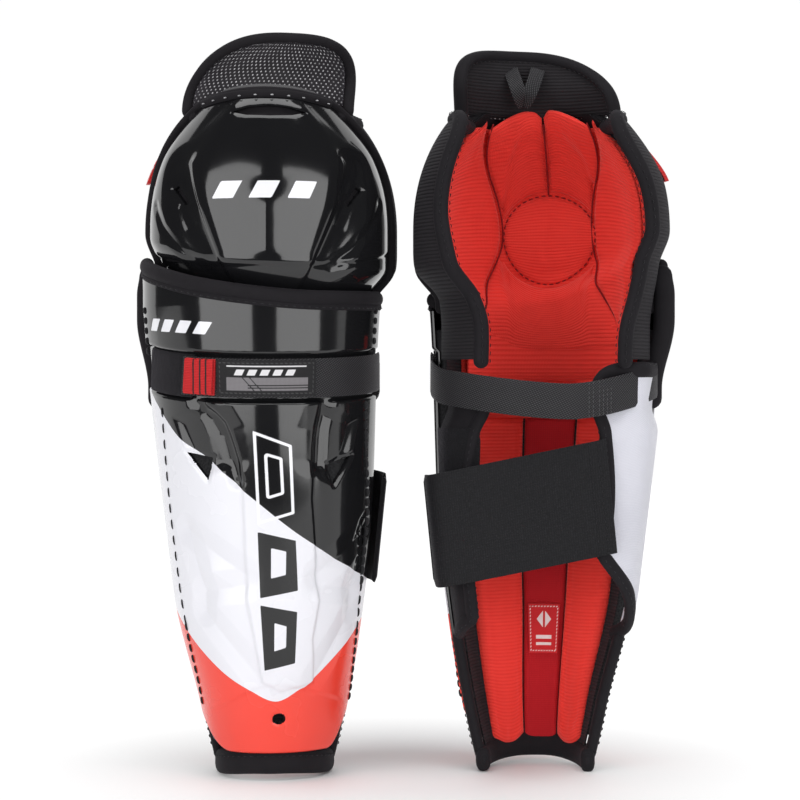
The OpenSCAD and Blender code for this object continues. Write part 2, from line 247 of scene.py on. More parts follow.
class Shape:
    """Vertices, faces and point attributes that are put together bit by bit."""

    def __init__(self):
        self.verts, self.faces, self.st, self.mats, self.n = [], [], [], [], 0

    def add(self, verts, faces, st, mat=0):
        verts = np.asarray(verts, float).reshape(-1, 3)
        st = np.asarray(st, float).reshape(-1, 2)
        faces = [tuple(int(i) + self.n for i in f) for f in faces]
        self.verts.append(verts)
        self.st.append(st)
        self.faces += faces
        self.mats += [mat] * len(faces)
        self.n += len(verts)
        return self

    def mesh(self, name, materials, extra=None):
        return mesh_of(name, np.vstack(self.verts), self.faces, materials, np.vstack(self.st),
                       self.mats, extra)


def mesh_of(name, verts, faces, materials, st, mats, extra=None):
    """A mesh with its place on the cloth or print, st, and further values at each point."""
    me = bpy.data.meshes.new(name)
    me.from_pydata((np.asarray(verts) * MM).tolist(), [], [tuple(map(int, f)) for f in faces])
    me.polygons.foreach_set("use_smooth", np.ones(len(me.polygons), bool))
    for m in materials:
        me.materials.append(m)
    me.polygons.foreach_set("material_index", np.asarray(mats, np.int32))
    three = np.column_stack([st, np.zeros(len(st))]).astype(np.float32)
    me.attributes.new("st", "FLOAT_VECTOR", "POINT").data.foreach_set("vector", three.ravel())
    for key, value in (extra or {}).items():
        layer = me.attributes.new(key, "FLOAT", "POINT")
        layer.data.foreach_set("value", np.asarray(value, np.float32).ravel())
    me.validate()
    me.update()
    return me


def quads(nu, nv, wrap=False):
    """Faces of a grid whose vertex (i, j) is j * columns + i."""
    cols = nu if wrap else nu + 1
    i, j = np.meshgrid(np.arange(nu), np.arange(nv))
    i2 = (i + 1) % cols
    f = np.stack([j * cols + i, j * cols + i2, (j + 1) * cols + i2, (j + 1) * cols + i], -1)
    return f.reshape(-1, 4)


def sweep(path, normals, section, round_ends=False, mat=0, into=None):
    """A closed outline carried along a path. The outline's x runs across, its y along the normal."""
    path, section = np.asarray(path, float), np.asarray(section, float)
    tangent, normals = unit(np.gradient(path, axis=0)), unit(np.asarray(normals, float))
    normals = unit(normals - (normals * tangent).sum(-1, keepdims=True) * tangent)
    side = np.cross(tangent, normals)
    size = np.ones(len(path))
    if round_ends:
        turned = np.radians(np.linspace(90, 0, CAP_RINGS, endpoint=False))
        reach = np.abs(section[:, 1]).max() * np.sin(turned)[:, None]
        path = np.vstack([path[0] - tangent[0] * reach, path, path[-1] + tangent[-1] * reach[::-1]])
        size = np.concatenate([np.cos(turned) + 1e-3, size, np.cos(turned[::-1]) + 1e-3])
        normals, side = (np.pad(a, ((CAP_RINGS, CAP_RINGS), (0, 0)), "edge") for a in (normals, side))
    m, n = len(path), len(section)
    ring = path[:, None] + size[:, None, None] * (side[:, None] * section[None, :, :1]
                                                  + normals[:, None] * section[None, :, 1:])
    st = np.stack(np.broadcast_arrays(distances(path)[:, None], section[None, :, 0] * size[:, None]), -1)
    faces = [*quads(n, m - 1, wrap=True), range(n)[::-1], range((m - 1) * n, m * n)]
    return (into or Shape()).add(ring, faces, st, mat)


def oval(rx, ry, n=14):
    a = np.linspace(0, 2 * np.pi, n, endpoint=False)
    return np.stack([rx * np.cos(a), ry * np.sin(a)], -1)


def tape(width, wall, cols=10):
    """Outline of a flat strap: its thickness lies from 0 to wall along the normal."""
    x = np.linspace(-width / 2, width / 2, cols)
    low = np.stack([x, np.zeros(cols)], -1)
    high = np.stack([x[::-1], np.full(cols, wall)], -1)
    edge = wall * 0.5
    low[0, 1] = low[-1, 1] = edge * 0.5
    high[0, 1] = high[-1, 1] = wall - edge * 0.5
    return np.vstack([low, high])


def stitches(path, normals, length, pitch, thick, into=None, mat=0, lift=0.35):
    """A row of separate stitches, each a short thread that dives into the cloth at its ends."""
    shape = into or Shape()
    spots = evenly(np.hstack([np.asarray(path, float), np.asarray(normals, float)]), pitch)
    centres, normal = spots[:, :3], unit(spots[:, 3:])
    s = np.linspace(-1, 1, STITCH_RINGS)
    a = np.linspace(0, 2 * np.pi, STITCH_RINGS, endpoint=False)
    r = thick / 2 * np.sqrt(1.02 - 0.75 * s**4)
    last = STITCH_RINGS * (STITCH_RINGS - 1)
    faces = [*quads(STITCH_RINGS, STITCH_RINGS - 1, wrap=True), range(STITCH_RINGS)[::-1],
             range(last, last + STITCH_RINGS)]
    st = np.stack(np.broadcast_arrays(s[:, None] * length, a[None]), -1)
    for c, n, t in zip(centres, normal, unit(np.gradient(centres, axis=0))):
        mid = c + t * (s[:, None] * length / 2) + n * (lift - 0.9 * thick * s[:, None] ** 4)
        round_it = n * np.sin(a)[:, None] + np.cross(t, n) * np.cos(a)[:, None]
        shape.add(mid[:, None] + r[:, None, None] * round_it, faces, st, mat)
    return shape


def pad(at, nu, nv, back, front, edge, power, st_at):
    """A closed pad. at(u, v, off) gives a point; its back lies at one offset and its crowned
    front swells to the other, and the two meet at a thin rim. st_at gives the cloth's place."""
    u, v = np.meshgrid(np.linspace(0, 1, nu + 1), np.linspace(0, 1, nv + 1))
    fade = ((1 - np.abs(2 * u - 1) ** power) * (1 - np.abs(2 * v - 1) ** power)) ** edge
    face = at(u, v, back + (front - back) * fade)
    rear = at(u, v, back + 0 * u)
    rim = np.zeros(u.shape, bool)
    rim[0], rim[-1], rim[:, 0], rim[:, -1] = True, True, True, True
    index = np.arange(u.size).reshape(u.shape)
    behind = index.copy()
    behind[~rim] = u.size + np.arange((~rim).sum())
    q = quads(nu, nv)
    rear_faces = behind.ravel()[q][:, ::-1]
    verts = np.vstack([face.reshape(-1, 3), rear[~rim]])
    st = np.stack(st_at(u, v), -1)
    st = np.vstack([st.reshape(-1, 2), st[~rim]])
    shape = Shape().add(verts, [*q, *rear_faces], st)
    shape.pinned = np.concatenate([rim.ravel(), np.ones((~rim).sum(), bool)])   # held while puffed
    return shape


def puff(me, pinned, pressure, cap):
    """Swells a padded mesh by cloth simulation, with its seams and its back held."""
    o = bpy.data.objects.new("puff", me)
    bpy.context.scene.collection.objects.link(o)
    group = o.vertex_groups.new(name="held")
    group.add(np.flatnonzero(pinned).tolist(), 1.0, "REPLACE")
    before = np.array([v.co for v in me.vertices])
    cloth = o.modifiers.new("cloth", "CLOTH")
    s = cloth.settings
    s.quality = 6
    s.mass = 0.2
    s.tension_stiffness = s.compression_stiffness = 12
    s.shear_stiffness = 4
    s.bending_stiffness = 0.4
    s.use_pressure = True
    s.uniform_pressure_force = pressure
    s.vertex_group_mass = "held"
    s.effector_weights.gravity = 0
    cloth.collision_settings.use_collision = False
    cloth.point_cache.frame_start, cloth.point_cache.frame_end = 1, PUFF_FRAMES
    for f in range(1, PUFF_FRAMES + 1):
        bpy.context.scene.frame_set(f)
    ev = o.evaluated_get(bpy.context.evaluated_depsgraph_get())
    after = np.array([v.co for v in ev.data.vertices])
    bpy.context.scene.frame_set(1)
    move = after - before
    far = np.linalg.norm(move, axis=1, keepdims=True)
    move *= np.minimum(1, cap * MM / np.maximum(far, 1e-9))
    bpy.data.objects.remove(o)
    me.vertices.foreach_set("co", (before + move).astype(np.float32).ravel())
    me.update()
    return me


# ---- placing --------------------------------------------------------------

TURN = Matrix.Rotation(math.pi, 4, "Z")
GUARDS = {"front": Matrix.Translation((-HALF * MM, 0, 0)),
          "back": TURN @ Matrix.Translation((-HALF * MM, 0, 0))}


def place(name, me, body, cad=None, span=None):
    """Puts the piece on both guards. It stands for the CAD node cad, or, if its name is X_look,
    for the node X. A span of (body, body, start, end) bends it across a joint."""
    if name.endswith("_look"):
        cad = name.removesuffix("_look")
    for guard, matrix in GUARDS.items():
        data = me.copy()
        data.transform(matrix)
        o = bpy.data.objects.new(f"{guard}_{name}", data)
        bpy.context.scene.collection.objects.link(o)
        if span:
            a, b, start, end = span
            start, end = (matrix @ (Vector(p) * MM) for p in (start, end))
            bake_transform(o, f"{guard}_{a}", f"{guard}_{b}", start=start, end=end)
        else:
            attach(o, f"{guard}_{body}")
        if cad:
            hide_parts(f"{guard}_{cad}")
    bpy.data.meshes.remove(me)


# ---- materials ------------------------------------------------------------

class Net:
    """A material's nodes, made one after another."""

    def __init__(self, name):
        self.m = bpy.data.materials.new(name)
        self.m.use_nodes = True
        self.t = self.m.node_tree
        self.shader = self.t.nodes["Principled BSDF"]

    def node(self, kind, **props):
        n = self.t.nodes.new(kind)
        for key, value in props.items():
            setattr(n, key, value)
        return n

    def feed(self, socket, value):
        if isinstance(value, bpy.types.NodeSocket):
            self.t.links.new(value, socket)
        elif value is not None:
            socket.default_value = value
        return self

    def set(self, **values):
        for key, value in values.items():
            self.feed(self.shader.inputs[key.replace("_", " ")], value)
        return self

    def math(self, op, a, b=None, c=None, clamp=False):
        n = self.node("ShaderNodeMath", operation=op, use_clamp=clamp)
        for socket, value in zip(n.inputs, (a, b, c)):
            self.feed(socket, value)
        return n.outputs[0]

    def plus(self, a, b):
        return self.math("ADD", a, b)

    def times(self, a, b):
        return self.math("MULTIPLY", a, b)

    def scaled(self, a, k, more):
        return self.math("MULTIPLY_ADD", a, k, more)

    def attribute(self, name):
        return self.node("ShaderNodeAttribute", attribute_name=name).outputs["Fac"]

    def mark(self, name):
        """1 inside a printed area, whose edge is held as a distance."""
        return self.over(-PRINT_BLUR, PRINT_BLUR, self.attribute(name))

    def xyz(self, vector):
        n = self.node("ShaderNodeSeparateXYZ")
        self.feed(n.inputs[0], vector)
        return n.outputs

    def st(self):
        """Place on the cloth, along and across."""
        x, y, _ = self.xyz(self.node("ShaderNodeAttribute", attribute_name="st").outputs["Vector"])
        return x, y

    def spot(self):
        """Place in the object, in metres."""
        return self.node("ShaderNodeTexCoord").outputs["Object"]

    def noise(self, scale, detail=2.0, rough=0.5):
        n = self.node("ShaderNodeTexNoise")
        for key, value in (("Vector", self.spot()), ("Scale", scale), ("Detail", detail),
                           ("Roughness", rough)):
            self.feed(n.inputs[key], value)
        return n.outputs["Fac"]

    def mix(self, fac, a, b):
        n = self.node("ShaderNodeMix", data_type="RGBA")
        self.feed(n.inputs[0], fac)
        for socket, value in ((n.inputs[6], a), (n.inputs[7], b)):
            self.feed(socket, value if not isinstance(value, tuple) else (*value, 1.0))
        return n.outputs[2]

    def wave(self, coord, period):
        """0 to 1 and back once every period."""
        return self.scaled(self.math("SINE", self.times(coord, 2 * math.pi / period)), 0.5, 0.5)

    def weave(self, s, period, t, other_period):
        return self.times(self.wave(s, period), self.wave(t, other_period))

    def bump(self, height, depth, strength, over=None):
        n = self.node("ShaderNodeBump")
        for key, value in (("Height", height), ("Distance", depth * MM), ("Strength", strength),
                           ("Normal", over)):
            self.feed(n.inputs[key], value)
        return n.outputs["Normal"]

    def over(self, low, high, value):
        """0 below low, 1 above high."""
        n = self.node("ShaderNodeMapRange", clamp=True)
        for socket, v in zip(n.inputs, (value, low, high, 0.0, 1.0)):
            self.feed(socket, v)
        return n.outputs[0]


BLACK, BLACK_HIGH = (0.0055, 0.0048, 0.0060), (0.0135, 0.0115, 0.0145)
JET, JET_HIGH = (0.006, 0.006, 0.007), (0.010, 0.010, 0.011)
INK, INK_HIGH = (0.007, 0.007, 0.008), (0.011, 0.011, 0.012)
YARN, YARN_SOFT = (0.004, 0.004, 0.005), (0.018, 0.017, 0.020)
PALE = (0.86, 0.86, 0.90)
RED_LOW, RED = (0.84, 0.032, 0.024), (0.95, 0.055, 0.040)
WARM, ROSE = (1.0, 0.6, 0.6), (1, 0.5, 0.5)  # tints of the red cloths' sheen
PRINT_BLUR = 0.12


def moulded(n, colour, rough, coat, coat_rough, grain=None):
    """Gloss moulded plastic, very slightly uneven, with an optional fine grain."""
    height = n.noise(60, 2)
    if grain is not None:
        height = n.plus(height, n.times(grain, 0.04))
    n.set(Base_Color=colour, Roughness=rough, Normal=n.bump(height, 0.10, 0.6),
          Coat_Weight=coat, Coat_Roughness=coat_rough)
    return n.m


def gloss_black():
    n = Net("gloss_black_plastic")
    haze = n.noise(30, 3)
    return moulded(n, n.mix(haze, JET, JET_HIGH), n.scaled(haze, 0.07, 0.07), 0.3, 0.05, n.noise(900, 2))


def printed_plastic():
    """Moulded shell, printed black, white and red."""
    n = Net("printed_shell_plastic")
    white, red = n.mark("white"), n.mark("red")
    haze = n.noise(25, 3)
    colour = n.mix(haze, INK, INK_HIGH)
    colour = n.mix(white, colour, n.mix(haze, (0.76, 0.76, 0.81), (0.80, 0.80, 0.85)))
    colour = n.mix(red, colour, n.mix(haze, (0.83, 0.045, 0.025), (0.90, 0.060, 0.034)))
    colour = n.mix(n.mark("mark_dark"), colour, INK)
    colour = n.mix(n.mark("mark_pale"), colour, PALE)
    rough = n.scaled(haze, 0.06, n.scaled(n.math("MAXIMUM", white, red), 0.16, 0.08))
    return moulded(n, colour, rough, 0.25, 0.06)


def marked_black():
    """The knee cup's gloss black, with its pale mark."""
    n = Net("knee_cup_plastic")
    haze = n.noise(30, 3)
    colour = n.mix(n.mark("mark_pale"), n.mix(haze, JET, JET_HIGH), PALE)
    return moulded(n, colour, n.scaled(haze, 0.07, 0.07), 0.3, 0.05)


def cloth_shader(n, colour, normal, rough=0.85, sheen=0.05, tint=(0.5, 0.46, 0.55)):
    n.set(Base_Color=colour, Roughness=rough, Normal=normal, Sheen_Weight=sheen, Sheen_Roughness=0.45,
          Sheen_Tint=(*tint, 1.0), Specular_IOR_Level=0.25)
    return n.m


def tricot():
    """Smooth black tricot: very fine lengthwise wales and soft creases."""
    n = Net("black_tricot")
    s, t = n.st()
    wales = n.wave(s, 0.55)
    cross = n.wave(t, 0.8)
    soft = n.noise(140, 3)
    h = n.plus(n.times(wales, 0.5), n.times(cross, 0.25))
    n1 = n.bump(soft, 0.5, 0.35)
    shade = n.scaled(wales, 0.5, n.times(soft, 0.5))
    return cloth_shader(n, n.mix(shade, BLACK, BLACK_HIGH), n.bump(h, 0.12, 0.6, n1))


def ribbed(name, low, high, period, depth, sheen, tint=(0.5, 0.48, 0.55)):
    """Ribbed knit: rows of soft ridges, a little uneven, with small stitches along them."""
    n = Net(name)
    s, t = n.st()
    ridge = n.wave(n.plus(t, n.times(n.noise(22, 2), 1.2)), period)
    loops = n.wave(n.plus(s, n.times(ridge, 0.3)), 0.9)
    body = n.math("POWER", ridge, 0.6)
    cloud = n.noise(45, 3)
    shade = n.plus(n.times(body, 0.6), n.times(cloud, 0.4))
    shade = n.math("ADD", shade, n.scaled(loops, 0.12, -0.06), clamp=True)
    normal = n.bump(n.plus(body, n.times(loops, 0.18)), depth, 0.8, n.bump(cloud, 0.8, 0.3))
    return cloth_shader(n, n.mix(shade, low, high), normal, 0.8, sheen, tint)


def fine_red():
    """The dark red channel: fine mesh with small pits."""
    n = Net("red_channel_mesh")
    s, t = n.st()
    pits = n.weave(s, 1.1, t, 1.1)
    cloud = n.noise(50, 3)
    shade = n.plus(n.times(pits, 0.45), n.times(cloud, 0.5))
    return cloth_shader(n, n.mix(shade, (0.40, 0.006, 0.012), (0.58, 0.014, 0.020)),
                        n.bump(pits, 0.15, 0.7), 0.85, 0.2, (1.0, 0.4, 0.4))


def dotted_mesh():
    """Black knit mesh with a pale dot in each cell, in offset rows."""
    n = Net("dotted_mesh")
    s, t = n.st()
    pitch, row_gap = 3.0, 1.9
    row = n.math("FLOOR", n.math("DIVIDE", t, row_gap))
    odd = n.times(n.math("MODULO", n.math("ABSOLUTE", row), 2.0), pitch * 0.5)
    x = n.math("SUBTRACT", n.math("FRACT", n.math("DIVIDE", n.plus(s, odd), pitch)), 0.5)
    y = n.math("SUBTRACT", n.math("FRACT", n.math("DIVIDE", t, row_gap)), 0.5)
    x, y = n.times(x, pitch), n.times(y, row_gap)
    d = n.math("SQRT", n.plus(n.times(x, x), n.times(y, y)))
    dot = n.math("SUBTRACT", 1.0, n.over(0.34, 0.58, d))
    uneven = n.over(0.35, 0.65, n.noise(400, 2))
    dot = n.times(dot, n.scaled(uneven, 0.6, 0.4))
    cell = n.over(0.3, 1.0, d)
    cloud = n.noise(60, 2)
    base = n.mix(n.times(cell, cloud), (0.006, 0.005, 0.007), (0.022, 0.020, 0.023))
    colour = n.mix(dot, base, (0.50, 0.49, 0.51))
    h = n.plus(cell, n.times(dot, 0.5))
    return cloth_shader(n, colour, n.bump(h, 0.35, 0.8), 0.75, 0.2)


def webbing():
    """Black woven webbing with a steep diagonal twill."""
    n = Net("black_webbing")
    s, t = n.st()
    a = n.plus(n.times(s, 0.55), t)
    twill = n.wave(a, 1.25)
    b = n.plus(n.times(t, -0.6), s)
    yarn = n.wave(b, 1.5)
    h = n.times(n.math("POWER", twill, 0.7), n.scaled(yarn, 0.45, 0.55))
    colour = n.mix(n.math("POWER", h, 2.0), YARN, (0.075, 0.072, 0.078))
    return cloth_shader(n, colour, n.bump(h, 0.3, 0.9), 0.55, 0.06)


def elastic():
    """Wide woven elastic: fine ribs across the strap, broken by small crossings."""
    n = Net("black_elastic")
    s, t = n.st()
    rib = n.wave(s, 1.3)
    pick = n.wave(n.plus(t, n.times(rib, 0.5)), 1.5)
    speck = n.noise(1300, 2)
    h = n.plus(n.times(rib, 0.6), n.times(pick, 0.4))
    shade = n.times(h, n.over(0.35, 0.7, speck))
    return cloth_shader(n, n.mix(shade, YARN, YARN_SOFT), n.bump(h, 0.22, 0.8), 0.75, 0.06)


def loop_pile():
    """Fuzzy loop side of hook-and-loop tape."""
    n = Net("black_loop_pile")
    tangle = n.noise(1500, 4, rough=0.8)
    clump = n.noise(260, 3)
    h = n.plus(tangle, clump)
    colour = n.mix(n.over(0.4, 0.7, tangle), (0.003, 0.003, 0.004), (0.014, 0.013, 0.015))
    return cloth_shader(n, colour, n.bump(h, 0.7, 0.9), 0.95, 0.15)


def white_weave():
    """White calf panel: tight diagonal weave under a slight shine."""
    n = Net("white_mesh_fabric")
    s, t = n.st()
    a = n.wave(n.plus(s, t), 1.15)
    b = n.wave(n.math("SUBTRACT", s, t), 1.15)
    h = n.times(a, b)
    cloud = n.noise(30, 3)
    shade = n.plus(n.times(h, 0.5), n.times(cloud, 0.5))
    return cloth_shader(n, n.mix(shade, (0.60, 0.60, 0.67), (0.80, 0.80, 0.87)),
                        n.bump(h, 0.22, 0.8, n.bump(cloud, 1.0, 0.3)), 0.55, 0.3, (1.0, 1.0, 1.0))


def thread(name, low, high):
    """Twisted sewing thread."""
    n = Net(name)
    s, t = n.st()
    twist = n.wave(n.plus(s, t), 0.9)
    return cloth_shader(n, n.mix(twist, low, high), n.bump(twist, 0.08, 0.8), 0.6, 0.1)


def foam():
    """Closed-cell foam."""
    n = Net("black_foam")
    cells = n.node("ShaderNodeTexVoronoi")
    n.feed(cells.inputs["Vector"], n.spot())
    cells.inputs["Scale"].default_value = 900
    d = cells.outputs["Distance"]
    return cloth_shader(n, n.mix(d, (0.006, 0.006, 0.007), (0.03, 0.03, 0.032)),
                        n.bump(d, 0.3, 0.7), 0.9, 0.1)


def strap_badge():
    """The label on the strap: grey, with a stitched line round it and slanted generic bars."""
    n = Net("strap_badge")
    s, t = n.st()
    edge = n.attribute("edge")
    pale = n.over(-0.15, 0.15, n.attribute("mark_pale"))
    dark = n.over(-0.15, 0.15, n.attribute("mark_dark"))
    weave = n.weave(s, 0.7, t, 0.7)
    base = n.mix(weave, (0.16, 0.15, 0.16), (0.27, 0.26, 0.27))
    line = n.times(n.over(1.1, 1.3, edge), n.over(1.9, 1.7, edge))
    dash = n.over(0.3, 0.4, n.wave(n.plus(s, t), 2.6))
    colour = n.mix(dark, base, n.mix(weave, (0.006, 0.006, 0.007), (0.018, 0.017, 0.019)))
    colour = n.mix(n.times(line, dash), colour, (0.05, 0.05, 0.052))
    colour = n.mix(pale, colour, (0.72, 0.71, 0.73))
    return cloth_shader(n, colour, n.bump(n.plus(weave, line), 0.12, 0.8), 0.5, 0.1)


def red_webbing():
    """Red grosgrain of the pull tab, with black stripes."""
    n = Net("red_pull_tab_webbing")
    s, t = n.st()
    rib = n.wave(t, 0.9)
    weft = n.wave(s, 0.7)
    stripe = n.over(0.0, 0.2, n.attribute("mark_dark"))
    red = n.mix(n.times(rib, weft), (0.42, 0.006, 0.010), (0.78, 0.028, 0.028))
    return cloth_shader(n, n.mix(stripe, red, (0.012, 0.011, 0.013)),
                        n.bump(n.scaled(weft, 0.4, rib), 0.2, 0.8), 0.6, 0.25, ROSE)


def red_tab_cloth():
    """Red webbing of the tab at the knee's outer edge, with pale bars."""
    n = Net("red_tab_webbing")
    s, t = n.st()
    weave = n.weave(s, 0.9, t, 0.8)
    pale = n.over(0.0, 0.2, n.attribute("mark_pale"))
    red = n.mix(weave, (0.52, 0.010, 0.012), (0.84, 0.036, 0.030))
    return cloth_shader(n, n.mix(pale, red, (0.8, 0.8, 0.82)), n.bump(weave, 0.15, 0.8), 0.6, 0.2,
                        WARM)


def woven_label():
    """The label in the liner's channel: red satin with a pale generic gem shape and bars."""
    n = Net("woven_liner_label")
    s, t = n.st()
    weave = n.weave(s, 0.6, t, 0.6)
    pale = n.over(-0.1, 0.1, n.attribute("mark_pale"))
    red = n.mix(weave, (0.55, 0.008, 0.014), (0.80, 0.030, 0.034))
    return cloth_shader(n, n.mix(pale, red, (0.86, 0.72, 0.72)), n.bump(weave, 0.12, 0.8), 0.5, 0.1,
                        WARM)


MAT = {
    "gloss": gloss_black(),
    "printed": printed_plastic(),
    "knee": marked_black(),
    "tricot": tricot(),
    "black_rib": ribbed("black_ribbed_tricot", BLACK, (0.022, 0.019, 0.022), 1.9, 0.5, 0.06),
    "red_rib": ribbed("red_ribbed_knit", RED_LOW, RED, 2.0, 0.36, 0.3, (1.0, 0.55, 0.5)),
    "red_channel": fine_red(),
    "dots": dotted_mesh(),
    "webbing": webbing(),
    "elastic": elastic(),
    "pile": loop_pile(),
    "white": white_weave(),
    "thread": thread("black_thread", YARN, (0.02, 0.02, 0.022)),
    "pale_thread": thread("pale_thread", (0.25, 0.25, 0.26), (0.62, 0.62, 0.64)),
    "foam": foam(),
    "badge": strap_badge(),
    "pull": red_webbing(),
    "tab": red_tab_cloth(),
    "label": woven_label(),
    "dark_red_thread": thread("dark_red_thread", (0.16, 0.003, 0.004), (0.32, 0.008, 0.010)),
    "grey_thread": thread("grey_thread", (0.04, 0.04, 0.042), (0.12, 0.118, 0.122)),
    "piping": thread("grey_piping", (0.045, 0.044, 0.046), (0.13, 0.128, 0.132)),
}


# ---- tools for the pieces -------------------------------------------------

def slab(t, z, outer, inner, holes=(), cell=1.0, sides=(0, 0, 0)):
    """A wall between two surfaces over a grid of angles and heights, with holes through it."""
    t, z = t.copy(), z.copy()
    rows, cols = t.shape
    keep = np.zeros((rows + 1, cols + 1), bool)
    keep[1:-1, 1:-1] = True
    for outline in holes:
        d = inside(t, z, outline)
        e = 0.05
        gt = (inside(t + e, z, outline) - d) / e
        gz = (inside(t, z + e, outline) - d) / e
        near = np.abs(d) < 0.55 * cell
        t[near] -= (d * gt)[near]
        z[near] -= (d * gz)[near]
        mid = lambda a: (a[:-1, :-1] + a[1:, :-1] + a[:-1, 1:] + a[1:, 1:]) / 4
        keep[1:-1, 1:-1] &= inside(mid(t), mid(z), outline) <= 0
    idx = np.arange(rows * cols).reshape(rows, cols)
    n = rows * cols
    a, b, c, d = idx[:-1, :-1], idx[:-1, 1:], idx[1:, 1:], idx[1:, :-1]
    k = keep[1:-1, 1:-1]
    faces = [np.stack([a, b, c, d], -1)[k], np.stack([d, c, b, a], -1)[k] + n]
    kinds = [np.full(k.sum(), sides[0]), np.full(k.sum(), sides[1])]
    for p, q, beyond in ((a, d, keep[1:-1, :-2]), (c, b, keep[1:-1, 2:]),
                         (b, a, keep[:-2, 1:-1]), (d, c, keep[2:, 1:-1])):
        w = k & ~beyond
        faces.append(np.stack([p, q, q + n, p + n], -1)[w])
        kinds.append(np.full(w.sum(), sides[2]))
    faces, kinds = np.vstack(faces), np.concatenate(kinds)
    verts = np.vstack([outer(t, z).reshape(-1, 3), inner(t, z).reshape(-1, 3)])
    used = np.zeros(len(verts), bool)
    used[faces] = True
    new = np.cumsum(used) - 1
    flat = np.concatenate([t.ravel(), t.ravel()]), np.concatenate([z.ravel(), z.ravel()])
    return verts[used], new[faces], kinds, flat[0][used], flat[1][used]


def crisp(me, angle):
    """Keeps edges sharper than the angle crisp."""
    me.set_sharp_from_angle(angle=math.radians(angle))


def tidy(me, sharp=None):
    """Turns the faces outwards."""
    bm = bmesh.new()
    bm.from_mesh(me)
    bmesh.ops.recalc_face_normals(bm, faces=bm.faces)
    bm.to_mesh(me)
    bm.free()
    if sharp:
        crisp(me, sharp)
    return me


def refine(me):
    """Applies a subdivision to the mesh itself."""
    o = bpy.data.objects.new("refine", me)
    bpy.context.scene.collection.objects.link(o)
    sub = o.modifiers.new("sub", "SUBSURF")
    sub.levels = sub.render_levels = 1
    fine = bpy.data.meshes.new_from_object(o.evaluated_get(bpy.context.evaluated_depsgraph_get()))
    fine.name = me.name + "_fine"
    bpy.data.objects.remove(o)
    bpy.data.meshes.remove(me)
    return fine


def soft(name, shape, look, pressure, cap):
    """Mesh of a pad: swollen by simulation, then smoothed."""
    me = tidy(shape.mesh(name, [MAT[look]]))
    puff(me, shape.pinned, pressure, cap)
    return refine(me)


def layer(at, off):
    """A surface at a set offset."""
    return lambda t, z: at(t, z, off)


def plate(name, t, z, outer, inner, looks, marks=None, st=None, **wall):
    """A wall between two surfaces. marks and st take its points' angles and heights, and give
    its printed areas and its place on the cloth."""
    verts, faces, kinds, t, z = slab(t, z, outer, inner, **wall)
    return mesh_of(name, verts, faces, [MAT[look] for look in looks],
                   np.stack(st(t, z) if st else (t, z), -1), kinds, marks(t, z) if marks else None)


def grid(t0, t1, nt, z0, z1, nz):
    """Angles and heights of a plain grid."""
    return np.meshgrid(np.linspace(t0, t1, nt), np.linspace(z0, z1, nz))


def sewn(name, shape, looks, sharp=50):
    """Mesh of a sewn or woven shape, in the looks that its faces count."""
    return tidy(shape.mesh(name, [MAT[look] for look in looks]), sharp)


def bound_edge(path, side, section, inset, faces, stitch):
    """A padded edge along a path, with a row of stitches beside it on each face."""
    out = outward(path)
    edge = sweep(path, out, section, round_ends=True)
    line = path + np.cross(unit(np.gradient(path, axis=0)), out) * side * inset
    for face in faces:
        stitches(line + out * face, out * np.sign(face), *stitch, edge, mat=1)
    return sewn("bound_edge", edge, ["tricot", "thread"])


def joined(name, parts):
    """One mesh out of several, keeping their materials and attributes."""
    objects = []
    for me in parts:
        o = bpy.data.objects.new(me.name, me)
        bpy.context.scene.collection.objects.link(o)
        objects.append(o)
    for key in {a.name for me in parts for a in me.attributes if a.name in ("mark_pale", "mark_dark")}:
        for me in parts:
            if key not in me.attributes:
                me.attributes.new(key, "FLOAT", "POINT")
    with bpy.context.temp_override(active_object=objects[0], selected_editable_objects=objects,
                                   selected_objects=objects, object=objects[0]):
        bpy.ops.object.join()
    me = objects[0].data
    me.name = name
    bpy.data.objects.remove(objects[0])
    return me


# ---- shin shell -----------------------------------------------------------

SHELL_REACH = 84
BLACK_EDGE = [(-90, 228), (-84, 224), (-67, 212), (-47, 193), (-33, 184), (-19, 173), (-7, 162),
              (19, 140), (47, 124), (75, 114), (90, 112)]
RED_EDGE = [(-90, 98), (-84, 96), (-72, 91), (-48, 74), (-30, 62), (-14, 54), (7, 46), (24, 52.5),
            (31, 56), (54, 73), (75, 87), (90, 92)]
SPINE = [(-30, 222), (-30, 213), (-19, 203), (-15, 191), (-12, 180), (-10.5, 165), (-10, 118), (-10, 104),
         (-6, 81), (-2, 57), (10, 52), (34, 56), (30, 81), (33, 103), (30, 118), (25.5, 160), (26, 190),
         (30, 210), (30, 222)]
VALLEYS = [[(-36, 214), (-26, 205), (-20, 195), (-17, 182), (-14, 170)], [(33, 214), (30, 200), (30, 180)]]
SCOOPS = [[(-52, 205), (-30, 212), (-20, 196), (-17, 178), (-30, 172), (-42, 182)],
          [(30, 212), (56, 205), (50, 184), (38, 168), (25, 175), (26, 195)]]
VENTS = [[(-44, 186), (-28, 183), (-30, 170.5)], [(51, 184), (36, 179), (39, 167.5)]]
CREASES = [[(-27, 214), (-19, 198), (-17, 182)], [(30, 212), (26, 198), (25, 182)],
           [(-48, 142), (-10, 118)], [(-38, 108), (-10, 112)], [(-40, 97), (-2, 58)],
           [(70, 142), (31, 118)], [(60, 108), (31, 112)], [(62, 97), (33, 58)],
           [(-48, 142), (-38, 108), (-40, 97)], [(70, 142), (60, 108), (62, 97)]]
LACE_HOLE = [(10 + 5.0 * math.cos(a), 36 + 3.2 * math.sin(a))
             for a in np.linspace(0, 2 * np.pi, 24, endpoint=False)]
